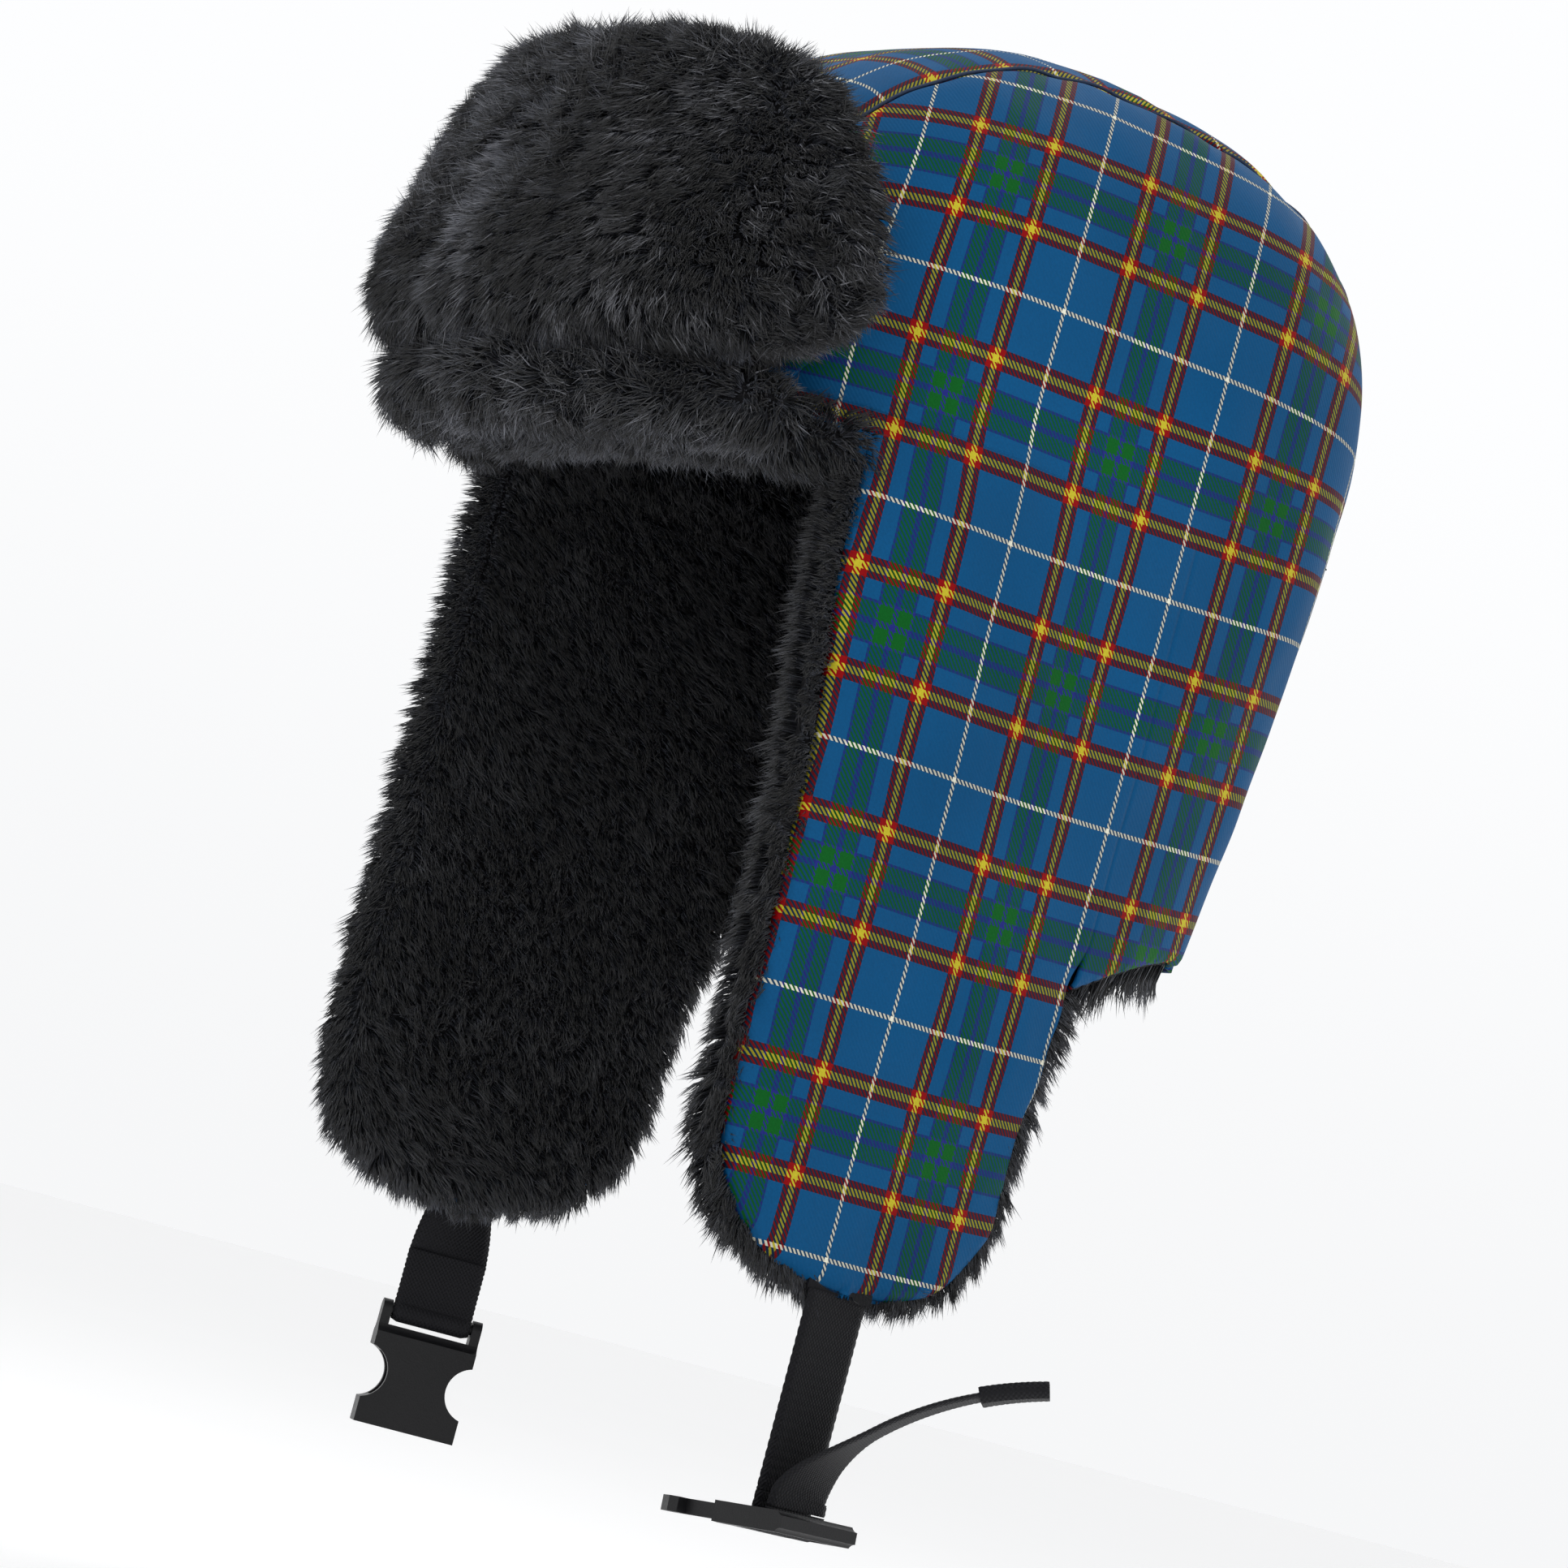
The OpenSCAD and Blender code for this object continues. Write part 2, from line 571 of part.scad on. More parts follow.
module socket_shell() {
    rail = buckle_width / 2 - rail_inside;
    color([0.05, 0.05, 0.06]) place_socket() rotate([0, 0, 90]) {
        difference() {
            translate([0, socket_thickness / 2, 0]) rotate([90, 0, 0])
                linear_extrude(socket_thickness) difference() {
                    translate([-buckle_width / 2, -socket_length])
                        square([buckle_width, socket_length + socket_top]);
                    for (side = [-1, 1])
                        translate([side * (waist_half + waist_radius), -20]) circle(waist_radius, $fn = 48);
                }
            translate([-mouth_width / 2, -mouth_thickness / 2, -socket_length - 1])
                cube([mouth_width, mouth_thickness, socket_length - 10]);
            for (side = [-1, 1])
                translate([0, side * (socket_thickness / 2 + 2), socket_top + 1]) rotate([0, 90, 0])
                    cylinder(r = 4, h = buckle_width + 2, center = true, $fn = 40);
        }
        for (side = [-1, 1])
            translate([side * (rail_inside + rail / 2) - rail / 2, -3, socket_top - 0.4]) cube([rail, 6, 5.4]);
        for (side = [-1, 1])
            translate([side * (rail_inside + rail / 2), 0, 0]) rotate([0, 90, 0])
                cylinder(r = 3, h = rail, center = true, $fn = 32);
        rotate([0, 90, 0]) cylinder(r = bar_radius, h = 2 * rail_inside + 1, center = true, $fn = 32);
    }
}

crown_centre_strip();
crown_side_left();
crown_side_right();
nape_side_left();
nape_side_right();
crown_wadding();
crown_dome_lining();
crown_fur_band();
nape_wadding();
nape_fur_lining();
brow_flap_shell();
brow_flap_wadding();
brow_flap_fur();
brow_fold_roll();
ear_flap_left_shell();
ear_flap_left_wadding();
ear_flap_left_fur();
strap_left_anchor();
ear_flap_right_shell();
ear_flap_right_wadding();
ear_flap_right_fur();
strap_right_anchor();
strap_left_webbing();
strap_left_turn();
plug_frame();
plug_guide();
plug_prong_front();
plug_prong_rear();
strap_left_tail();
strap_left_tail_hem();
strap_right_webbing();
strap_right_loop();
socket_shell();
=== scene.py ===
"""Looks of the trapper hat: checked fabric, wadding edges, fur pile, webbing and buckle halves."""
import math

import bmesh
import bpy
import numpy as np
from mathutils import Matrix, Vector


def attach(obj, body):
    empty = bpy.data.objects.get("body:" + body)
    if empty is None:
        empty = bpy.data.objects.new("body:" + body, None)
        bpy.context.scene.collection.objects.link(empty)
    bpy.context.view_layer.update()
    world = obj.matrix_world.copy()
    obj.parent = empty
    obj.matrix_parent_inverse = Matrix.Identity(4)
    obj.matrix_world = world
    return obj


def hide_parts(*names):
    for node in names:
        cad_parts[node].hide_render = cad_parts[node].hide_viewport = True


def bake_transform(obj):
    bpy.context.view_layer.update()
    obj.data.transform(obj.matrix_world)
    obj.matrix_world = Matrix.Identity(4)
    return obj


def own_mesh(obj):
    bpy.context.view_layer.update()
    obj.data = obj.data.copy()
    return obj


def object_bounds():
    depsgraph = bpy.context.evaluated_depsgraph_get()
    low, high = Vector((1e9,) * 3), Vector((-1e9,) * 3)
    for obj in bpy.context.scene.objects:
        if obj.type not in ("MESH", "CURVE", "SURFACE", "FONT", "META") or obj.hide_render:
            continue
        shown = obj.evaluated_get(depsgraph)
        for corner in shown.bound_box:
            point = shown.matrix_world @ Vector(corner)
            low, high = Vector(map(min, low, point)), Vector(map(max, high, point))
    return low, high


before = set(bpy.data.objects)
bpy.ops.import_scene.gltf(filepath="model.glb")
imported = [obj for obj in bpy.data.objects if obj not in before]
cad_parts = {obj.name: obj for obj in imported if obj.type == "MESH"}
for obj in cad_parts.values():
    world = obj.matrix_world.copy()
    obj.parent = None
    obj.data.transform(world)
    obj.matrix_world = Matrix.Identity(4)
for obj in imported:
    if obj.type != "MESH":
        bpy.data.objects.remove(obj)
CAD_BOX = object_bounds()
MM = 0.001
TAU = 2 * math.pi

# ---- sizes in millimetres, as the frame has them -------------------------------------------
HALF_WIDTH, HALF_LENGTH = 98.0, 127.0
WALL_TOP, DOME_RISE = 38.0, 103.0
SQUARE_FRONT, SQUARE_BACK, SQUARE_DOME = 3.0, 2.7, 2.6
FRONT_SLOPE = 0.34
SEAM_X = 56.0
FOLD_Z = -10.0
FABRIC_SPLIT_Z = 6.0  # where the ear flap's fabric meets the crown's, above the fold
FLAP_FRONT, FLAP_FRONT_LOW = -92.0, -88.0
FLAP_REAR, FLAP_REAR_LOW = 30.0, 24.0
FLAP_BOTTOM, FLAP_ROUND = -236.0, 46.0
FLAP_SQUARENESS = 2.35
NAPE_BOTTOM, NOTCH = -113.0, -134.0
SHELL, WADDING, FUR_ROOT = 1.2, 4.2, 9.5
BROW_TOP, BROW_FOOT = 98.0, 6.0
BROW_END = math.radians(39)
BROW_REACH = 38.0
WEBBING, WEBBING_THICK = 25.0, 1.6
BAR_RADIUS = 1.7
BUCKLE_WIDTH = 32.0


# ---- small tools ---------------------------------------------------------------------------
def clamp01(t):
    return np.clip(t, 0.0, 1.0)


def ease(t):
    t = clamp01(t)
    return t * t * (3 - 2 * t)


def mix(a, b, t):
    return a + (b - a) * t


def unit(v):
    return v / np.maximum(np.linalg.norm(v, axis=-1, keepdims=True), 1e-9)


def hashed(i, j, k, seed):
    """A number from 0 to 1 for each cell of a lattice."""
    h = i * 374761393 + j * 668265263 + k * 2147483647 + seed * 1274126177
    h = (h ^ (h >> 13)) * 1274126177
    h = h ^ (h >> 16)
    return (h & 0xFFFFFF) / float(0xFFFFFF)


def noise(p, scale, seed=0):
    """Smooth value noise from -1 to 1 at points p (mm), with lumps about scale mm across."""
    q = np.asarray(p, float) / scale
    cell = np.floor(q).astype(np.int64)
    f = q - cell
    f = f * f * (3 - 2 * f)
    total = np.zeros(q.shape[:-1])
    for dx in (0, 1):
        for dy in (0, 1):
            for dz in (0, 1):
                weight = (
                    (f[..., 0] if dx else 1 - f[..., 0])
                    * (f[..., 1] if dy else 1 - f[..., 1])
                    * (f[..., 2] if dz else 1 - f[..., 2])
                )
                total += weight * hashed(cell[..., 0] + dx, cell[..., 1] + dy, cell[..., 2] + dz, seed)
    return total * 2 - 1


def layered_noise(p, scale, seed=0, octaves=3):
    total = np.zeros(np.shape(p)[:-1])
    for k in range(octaves):
        total += noise(p, scale / 2**k, seed + 17 * k) * 0.55**k
    return total


# ---- the hat's surface, the same rules as the frame's --------------------------------------
def ring(th, d=0.0):
    """The crown's outline at plan angle th, depth d inside: x and y."""
    s, c = np.sin(th), np.cos(th)
    n = np.where(c > 0, SQUARE_FRONT, SQUARE_BACK)
    r = ((np.abs(s) / (HALF_WIDTH - d)) ** n + (np.abs(c) / (HALF_LENGTH - d)) ** n) ** (-1 / n)
    return r * s, -r * c


def half_width_at(y, d=0.0):
    n = np.where(y < 0, SQUARE_FRONT, SQUARE_BACK)
    return (HALF_WIDTH - d) * (1 - clamp01(np.abs(y) / (HALF_LENGTH - d)) ** n) ** (1 / n)


def length_at(x, n, d=0.0):
    return (HALF_LENGTH - d) * (1 - clamp01(np.abs(x) / (HALF_WIDTH - d)) ** n) ** (1 / n)


def skirt(x, y, z):
    """The wall draws in towards the nape and stands out towards the front of the flaps."""
    x, y, z = np.broadcast_arrays(np.asarray(x, float), np.asarray(y, float), np.asarray(z, float))
    draw_in = 0.125 * np.clip((20 - z) / 140, 0, 1.6) ** 1.3 * ease(y / 90)
    forward = np.clip((45 - y) / 130, 0, 1.4)
    out = (10 * ease((WALL_TOP - z) / 60) + 6 * ease((10 - z) / 150)) * forward**1.6
    out = out + 1.5 * ease((10 - z) / 230)
    return np.stack([x * (1 - draw_in) + np.sign(x) * out, y * (1 - draw_in), z], -1)


def wall_point(th, z, d=0.0):
    x, y = ring(th, d)
    return skirt(x, y, z)


def side_point(y, z, d=0.0):
    return skirt(half_width_at(y, d), y, z)


def dome_height(y, d=0.0):
    return (DOME_RISE - d) * (1 - FRONT_SLOPE * (np.minimum(0, y) / HALF_LENGTH) ** 2)


def dome_point(th, f, d=0.0):
    """f runs from 0 at the top to a right angle at the wall."""
    rho = np.sin(f) ** (2 / SQUARE_DOME)
    x, y = ring(th, d)
    x, y = x * rho, y * rho
    up = np.maximum(np.cos(f), 0) ** (2 / SQUARE_DOME)
    return np.stack(np.broadcast_arrays(x, y, WALL_TOP + dome_height(y, d) * up), -1)


def side_path(th, s, low, d=0.0):
    """A path from the centre strip's seam down to the height low, s from 0 to 1."""
    x, _ = ring(th, d)
    start = np.arcsin(clamp01(SEAM_X / np.maximum(SEAM_X, x)) ** (SQUARE_DOME / 2))
    dome_len = (math.pi / 2 - start) / (math.pi / 2) * 150
    share = dome_len / (dome_len + WALL_TOP - low)
    on_dome = dome_point(th, mix(start, math.pi / 2, np.minimum(1, s / np.maximum(share, 1e-6))), d)
    on_wall = wall_point(th, mix(WALL_TOP, low, clamp01((s - share) / (1 - share))), d)
    return np.where((s < share)[..., None], on_dome, on_wall)


SEAM_FRONT = math.atan2(SEAM_X, float(length_at(SEAM_X, SQUARE_FRONT)))
SEAM_BACK = math.pi - math.atan2(SEAM_X, float(length_at(SEAM_X, SQUARE_BACK)))


def slit_angle(d=0.0, gap=0.0):
    y = FLAP_REAR + gap
    return math.pi / 2 + math.atan2(y, float(half_width_at(y, d)))


def flap_start():
    """The plan angle of an ear flap's front edge."""
    return math.pi / 2 + math.atan2(FLAP_FRONT, float(half_width_at(FLAP_FRONT)))


def nape_edge(th, extra=0.0):
    full = math.pi - slit_angle()
    away = np.abs(th - math.pi)
    return mix(NAPE_BOTTOM, NOTCH, clamp01((away - full / 2) / (full / 2)) ** 1.3) - extra


# ---- meshes --------------------------------------------------------------------------------
def new_mesh(name, points, faces, uvs=None, smooth=True):
    """A mesh object from points in millimetres and a list of faces; uvs are per point."""
    mesh = bpy.data.meshes.new(name)
    mesh.from_pydata((np.asarray(points, float) * MM).tolist(), [], [list(map(int, f)) for f in faces])
    if uvs is not None:
        layer = mesh.uv_layers.new(name="cloth")
        loops = np.zeros(len(mesh.loops), np.int32)
        mesh.loops.foreach_get("vertex_index", loops)
        layer.data.foreach_set("uv", np.asarray(uvs, np.float32)[loops].ravel())
    mesh.polygons.foreach_set("use_smooth", [smooth] * len(mesh.polygons))
    mesh.update()
    obj = bpy.data.objects.new(name, mesh)
    bpy.context.scene.collection.objects.link(obj)
    return obj


def grid_faces(rows, columns, base=0, wrap=False):
    """Quads of a grid of rows by columns points, wrapping round the rows if asked."""
    i = np.arange(rows if wrap else rows - 1)[:, None]
    j = np.arange(columns - 1)[None, :]
    a = base + i * columns + j
    b = base + ((i + 1) % rows) * columns + j
    return np.stack([a, b, b + 1, a + 1], -1).reshape(-1, 4)


def grid_normals(grid, wrap=False):
    """Outward normals of a grid of points whose rows run round the left and columns run down."""
    if wrap:
        di = np.roll(grid, -1, 0) - np.roll(grid, 1, 0)
    else:
        di = np.gradient(grid, axis=0)
    dj = np.gradient(grid, axis=1)
    return unit(np.cross(dj, di))


def thicken(obj, thickness, levels=0):
    mod = obj.modifiers.new("thickness", "SOLIDIFY")
    mod.thickness = thickness * MM
    mod.offset = -1
    mod.use_even_offset = False
    return obj


def mirrored(points):
    return points * np.array([-1.0, 1.0, 1.0])


def flip_faces(faces):
    return faces[:, ::-1]


# ---- materials -----------------------------------------------------------------------------
def linear(r, g, b):
    """The linear colour of an sRGB triple from 0 to 255."""
    return tuple(((c / 255 + 0.055) / 1.055) ** 2.4 if c > 10 else c / 255 / 12.92 for c in (r, g, b)) + (1.0,)


class Nodes:
    """A short way to write a material's nodes."""

    def __init__(self, name):
        self.material = bpy.data.materials.new(name)
        self.material.use_nodes = True
        self.tree = self.material.node_tree
        self.shader = self.tree.nodes["Principled BSDF"]

    def add(self, kind, **values):
        node = self.tree.nodes.new(kind)
        for key, value in values.items():
            setattr(node, key, value)
        return node

    def put(self, value, socket):
        if isinstance(value, bpy.types.NodeSocket):
            self.tree.links.new(value, socket)
        else:
            socket.default_value = value

    def math(self, operation, *values):
        node = self.add("ShaderNodeMath", operation=operation)
        for value, socket in zip(values, node.inputs, strict=False):
            self.put(value, socket)
        return node.outputs[0]

    def blend(self, share, a, b, how="MIX"):
        node = self.add("ShaderNodeMix", data_type="RGBA", blend_type=how)
        self.put(share, node.inputs["Factor"])
        self.put(a, node.inputs["A"])
        self.put(b, node.inputs["B"])
        return node.outputs["Result"]

    def remap(self, value, low, high, to_low, to_high, smooth=False):
        node = self.add("ShaderNodeMapRange")
        if smooth:
            node.interpolation_type = "SMOOTHSTEP"
        for v, socket in zip((value, low, high, to_low, to_high), node.inputs, strict=False):
            self.put(v, socket)
        return node.outputs[0]

    def noise(self, vector, scale, detail=2.0, rough=0.5):
        node = self.add("ShaderNodeTexNoise")
        self.put(vector, node.inputs["Vector"])
        node.inputs["Scale"].default_value = scale
        node.inputs["Detail"].default_value = detail
        node.inputs["Roughness"].default_value = rough
        return node.outputs["Fac"]

    def bump(self, height, strength, distance):
        node = self.add("ShaderNodeBump")
        node.inputs["Strength"].default_value = strength
        node.inputs["Distance"].default_value = distance
        self.put(height, node.inputs["Height"])
        self.put(node.outputs["Normal"], self.shader.inputs["Normal"])

    def finish(self, **values):
        for key, value in values.items():
            self.put(value, self.shader.inputs[key.replace("_", " ")])
        return self.material


# The sett: how far from its white line each colour of the check starts, as a share of the repeat.
WHITE = linear(238, 236, 216)
BLUE = linear(3, 78, 126)
RED = linear(140, 2, 8)
YELLOW = linear(196, 184, 44)
PURPLE = linear(32, 40, 124)
GREEN = linear(3, 90, 28)
SETT = [
    (0.0, WHITE), (0.009, BLUE), (0.243, RED), (0.273, YELLOW), (0.303, RED), (0.333, BLUE),
    (0.410, PURPLE), (0.421, GREEN), (0.486, PURPLE),
]
# Painted shade in the weave: how much darker a thread is painted where it passes under each stripe of the sett.
UNDER_SHADE = [(at, (left, left, left, 1.0)) for at, left in
         ((0.0, 0.5), (0.009, 1.0), (0.243, 0.2), (0.333, 1.0), (0.410, 0.62))]
SETT_WIDE, SETT_TALL = 65.0, 70.0
THREADS = 42  # twill lines in one repeat


def check_fabric(name, wide=SETT_WIDE, tall=SETT_TALL, white_at=(0.0, 0.0), lean=1.0):
    """Checked twill. The cloth UVs are in decimetres; white_at is where a pair of white lines cross."""
    m = Nodes(name)
    uv = m.add("ShaderNodeUVMap", uv_map="cloth").outputs[0]
    split = m.add("ShaderNodeSeparateXYZ")
    m.put(uv, split.inputs[0])
    across = m.math("MULTIPLY_ADD", split.outputs[0], 100 / wide, -white_at[0] / wide)
    along = m.math("MULTIPLY_ADD", split.outputs[1], 100 / tall, -white_at[1] / tall)

    def stripes(turns, sett=SETT):
        away = m.math("ABSOLUTE", m.math("SUBTRACT", m.math("FRACT", turns), 0.5))
        near = m.math("MULTIPLY_ADD", away, -2.0, 1.0)
        ramp = m.add("ShaderNodeValToRGB")
        ramp.color_ramp.interpolation = "CONSTANT"
        while len(ramp.color_ramp.elements) < len(sett):
            ramp.color_ramp.elements.new(1.0)
        for element, (at, colour) in zip(ramp.color_ramp.elements, sett, strict=True):
            element.position, element.color = 2 * at, colour
        m.put(near, ramp.inputs[0])
        return ramp.outputs[0]

    diagonal = m.math("MULTIPLY", m.math("ADD", m.math("MULTIPLY", across, lean), along), THREADS * TAU)
    wave = m.math("SINE", diagonal)
    over = m.remap(wave, -0.3, 0.3, 0.0, 1.0)
    # The painted shade each thread gets where it passes under the crossing stripe.
    under_shade = [stripes(across, UNDER_SHADE), stripes(along, UNDER_SHADE)]

    def thread(turns, mine, other):
        # Painted shade: a thread is painted darkest under another stripe and brightest where its own stripe crosses
        # itself.
        covered_shade = m.math("SUBTRACT", 1.0, m.math("SUBTRACT", mine, other))
        crossing_shade = m.math("MULTIPLY_ADD", m.math("SUBTRACT", other, mine), -0.6, 1.0)
        share = m.math("MINIMUM", m.math("MINIMUM", covered_shade, crossing_shade), 1.0)
        grey = m.add("ShaderNodeCombineColor")
        for socket in grey.inputs[:3]:
            m.put(share, socket)
        return m.blend(1.0, stripes(turns), grey.outputs[0], "MULTIPLY")

    cloth = m.blend(over, thread(across, *under_shade), thread(along, *reversed(under_shade)))
    where = m.add("ShaderNodeTexCoord").outputs["Object"]
    patches = m.remap(m.noise(where, 16.0, 2.0), 0.3, 0.7, 0.90, 1.10)
    threads = m.remap(m.noise(where, 1400.0, 1.0), 0.25, 0.75, 0.93, 1.07)
    shade = m.math("MULTIPLY", patches, threads)
    grey = m.add("ShaderNodeCombineColor")
    for socket in grey.inputs[:3]:
        m.put(shade, socket)
    coloured = m.blend(1.0, cloth, grey.outputs[0], "MULTIPLY")
    folds = m.noise(where, 34.0, 3.0, 0.55)
    height = m.math("ADD", m.math("MULTIPLY", wave, 0.05), m.math("MULTIPLY", folds, 1.0))
    m.bump(height, 0.35, 0.0016)
    return m.finish(
        Base_Color=coloured,
        Roughness=m.remap(m.noise(where, 22.0), 0.3, 0.7, 0.58, 0.74),
        Specular_IOR_Level=0.12,
    )


def fur_shades(name, levels):
    """Plain dark hair colours, the lighter ones partly painted highlight on the pile; which strand has which is in the
    mesh.
    """
    made = []
    for k, level in enumerate(levels):
        m = Nodes(f"{name}_{k}")
        made.append(m.finish(
            Base_Color=(level * 0.93, level * 0.95, level * 1.06, 1.0), Roughness=0.42,
            Specular_IOR_Level=0.55, Sheen_Weight=0.25, Sheen_Roughness=0.35,
            Sheen_Tint=(0.75, 0.8, 0.95, 1.0),
        ))
    return made


def backing_material():
    m = Nodes("fur_backing")
    where = m.add("ShaderNodeTexCoord").outputs["Object"]
    grain = m.noise(where, 500.0, 3.0, 0.7)
    m.bump(grain, 0.8, 0.002)
    colour = m.blend(m.remap(grain, 0.35, 0.65, 0.0, 1.0), (0.004, 0.004, 0.005, 1), (0.014, 0.014, 0.017, 1))
    return m.finish(Base_Color=colour, Roughness=0.8, Specular_IOR_Level=0.2)


def webbing_material():
    m = Nodes("webbing_weave")
    where = m.add("ShaderNodeUVMap", uv_map="cloth").outputs[0]
    split = m.add("ShaderNodeSeparateXYZ")
    m.put(where, split.inputs[0])
    warp = m.math("SINE", m.math("MULTIPLY", split.outputs[0], TAU * 100 / 1.25))
    weft = m.math("SINE", m.math("MULTIPLY", split.outputs[1], TAU * 100 / 1.5))
    weave = m.math("MULTIPLY", warp, weft)
    fuzz = m.noise(m.add("ShaderNodeTexCoord").outputs["Object"], 900.0, 2.0)
    m.bump(m.math("ADD", m.math("MULTIPLY", weave, 0.5), fuzz), 0.55, 0.0005)
    colour = m.blend(m.remap(weave, -1.0, 1.0, 0.0, 1.0), (0.0025, 0.0025, 0.0035, 1), (0.008, 0.008, 0.011, 1))
    return m.finish(Base_Color=colour, Roughness=0.66, Specular_IOR_Level=0.2, Sheen_Weight=0.03)


def plastic_material():
    m = Nodes("buckle_acetal")
    where = m.add("ShaderNodeTexCoord").outputs["Object"]
    grain = m.noise(where, 1600.0, 2.0)
    m.bump(grain, 0.22, 0.0003)
    colour = m.blend(m.noise(where, 60.0), (0.003, 0.003, 0.004, 1), (0.006, 0.006, 0.007, 1))
    return m.finish(Base_Color=colour, Roughness=m.remap(grain, 0.3, 0.7, 0.36, 0.48), Specular_IOR_Level=0.32)


def cloth_material(name, low, high, grain_scale, rough):
    m = Nodes(name)
    where = m.add("ShaderNodeTexCoord").outputs["Object"]
    grain = m.noise(where, grain_scale, 3.0)
    m.bump(grain, 0.4, 0.0008)
    return m.finish(Base_Color=m.blend(grain, low, high), Roughness=rough, Specular_IOR_Level=0.3)


# ---- camera, lights and floor ----------------------------------------------------------------
CAMERA_TURN, CAMERA_RISE, CAMERA_ROLL = math.radians(54), math.radians(-6), math.radians(14.9)
CAMERA_AWAY = 1.6
CAMERA_LENS, SENSOR = 121.1, 36.0
SKY_NEAR, SKY_FAR, SKY_LOW, FLOOR_GLOW = 0.45, 1.0, 0.94, 0.2
CAMERA_AIM = Vector((-0.0106, -0.0146, -0.090))


def make_camera():
    right = Vector((math.cos(CAMERA_TURN), math.sin(CAMERA_TURN), 0))
    back = Vector((
        math.sin(CAMERA_TURN) * math.cos(CAMERA_RISE),
        -math.cos(CAMERA_TURN) * math.cos(CAMERA_RISE),
        math.sin(CAMERA_RISE),
    ))
    up = back.cross(right)
    c, s = math.cos(CAMERA_ROLL), math.sin(CAMERA_ROLL)
    camera = bpy.data.objects.new("camera", bpy.data.cameras.new("camera"))
    camera.data.lens, camera.data.sensor_width = CAMERA_LENS, SENSOR
    camera.data.clip_start = 0.05
    turn = Matrix((c * right + s * up, -s * right + c * up, back)).transposed()
    camera.matrix_world = Matrix.Translation(CAMERA_AIM + CAMERA_AWAY * back) @ turn.to_4x4()
    bpy.context.scene.collection.objects.link(camera)
    bpy.context.scene.camera = camera


def area_light(name, turn, rise, away, size, watts):
    a, e = math.radians(turn), math.radians(rise)
    place = Vector((math.sin(a) * math.cos(e), -math.cos(a) * math.cos(e), math.sin(e))) * away
    light = bpy.data.lights.new(name, "AREA")
    light.size, light.energy = size, watts
    obj = bpy.data.objects.new(name, light)
    obj.location = place + Vector((0, 0, -0.05))
    obj.rotation_euler = place.to_track_quat("Z", "Y").to_euler()
    bpy.context.scene.collection.objects.link(obj)


def make_sky():
    """A pale room: dimmer towards the near side, brighter beyond the hat, and even near the floor."""
    world = bpy.data.worlds.new("studio")
    world.use_nodes = True
    tree = world.node_tree
    where = tree.nodes.new("ShaderNodeTexCoord")
    away = tree.nodes.new("ShaderNodeVectorMath")
    away.operation = "DOT_PRODUCT"
    away.inputs[1].default_value = (-0.80, 0.58, 0.12)
    level = tree.nodes.new("ShaderNodeMapRange")
    level.interpolation_type = "SMOOTHSTEP"
    level.inputs["From Min"].default_value, level.inputs["From Max"].default_value = -0.7, 0.8
    level.inputs["To Min"].default_value, level.inputs["To Max"].default_value = SKY_NEAR, SKY_FAR
    tree.links.new(where.outputs["Generated"], away.inputs[0])
    tree.links.new(away.outputs["Value"], level.inputs["Value"])
    height = tree.nodes.new("ShaderNodeSeparateXYZ")
    tree.links.new(where.outputs["Generated"], height.inputs[0])
    rise = tree.nodes.new("ShaderNodeMapRange")
    rise.interpolation_type = "SMOOTHSTEP"
    rise.inputs["From Min"].default_value, rise.inputs["From Max"].default_value = 0.0, 0.22
    rise.inputs["To Min"].default_value = SKY_LOW
    tree.links.new(height.outputs["Z"], rise.inputs["Value"])
    tree.links.new(level.outputs[0], rise.inputs["To Max"])
    background = tree.nodes["Background"]
    background.inputs["Color"].default_value = (0.985, 0.99, 1.0, 1)
    tree.links.new(rise.outputs[0], background.inputs["Strength"])
    bpy.context.scene.world = world


def make_stage():
    floor_z = CAD_BOX[0][2] - 0.06
    bpy.ops.mesh.primitive_plane_add(size=30, location=(0, 0, floor_z))
    floor = bpy.context.active_object
    floor.name = "floor"
    m = Nodes("floor_paint")
    where = m.add("ShaderNodeTexCoord").outputs["Object"]
    floor.data.materials.append(m.finish(
        Base_Color=m.blend(m.noise(where, 3.0), (0.93, 0.93, 0.93, 1), (0.95, 0.95, 0.95, 1)), Roughness=0.9,
        Specular_IOR_Level=0.1, Emission_Color=(1, 1, 1, 1), Emission_Strength=FLOOR_GLOW,
    ))
    make_sky()
    bpy.context.scene.view_settings.view_transform = "Standard"
    area_light("key", 15, 42, 1.9, 0.9, 9)
    area_light("side", 75, 30, 2.0, 1.2, 4)
    area_light("top", 190, 72, 1.8, 1.0, 3)


make_camera()
make_stage()

MATERIALS = {
    "side": check_fabric("check_twill_side", white_at=(-41.0, -18.0)),
    "strip": check_fabric("check_twill_strip", wide=66.0, tall=68.0, white_at=(20.0, 34.0)),
    "backing": backing_material(),
    "webbing": webbing_material(),
    "plastic": plastic_material(),
    "wadding": cloth_material("wadding_felt", (0.62, 0.62, 0.6, 1), (0.78, 0.78, 0.76, 1), 260.0, 0.9),
    "lining": cloth_material("lining_satin", (0.008, 0.008, 0.01, 1), (0.02, 0.02, 0.024, 1), 420.0, 0.5),
    "thread": cloth_material("sewing_thread", (0.01, 0.02, 0.05, 1), (0.03, 0.05, 0.1, 1), 900.0, 0.7),
}
# The lighter levels of each set stand partly for painted highlights on the fur.
LONG_FUR = fur_shades("long_fur", (0.002, 0.007, 0.028, 0.15))
LINING_FUR = fur_shades("lining_fur", (0.0035, 0.007, 0.015, 0.038))


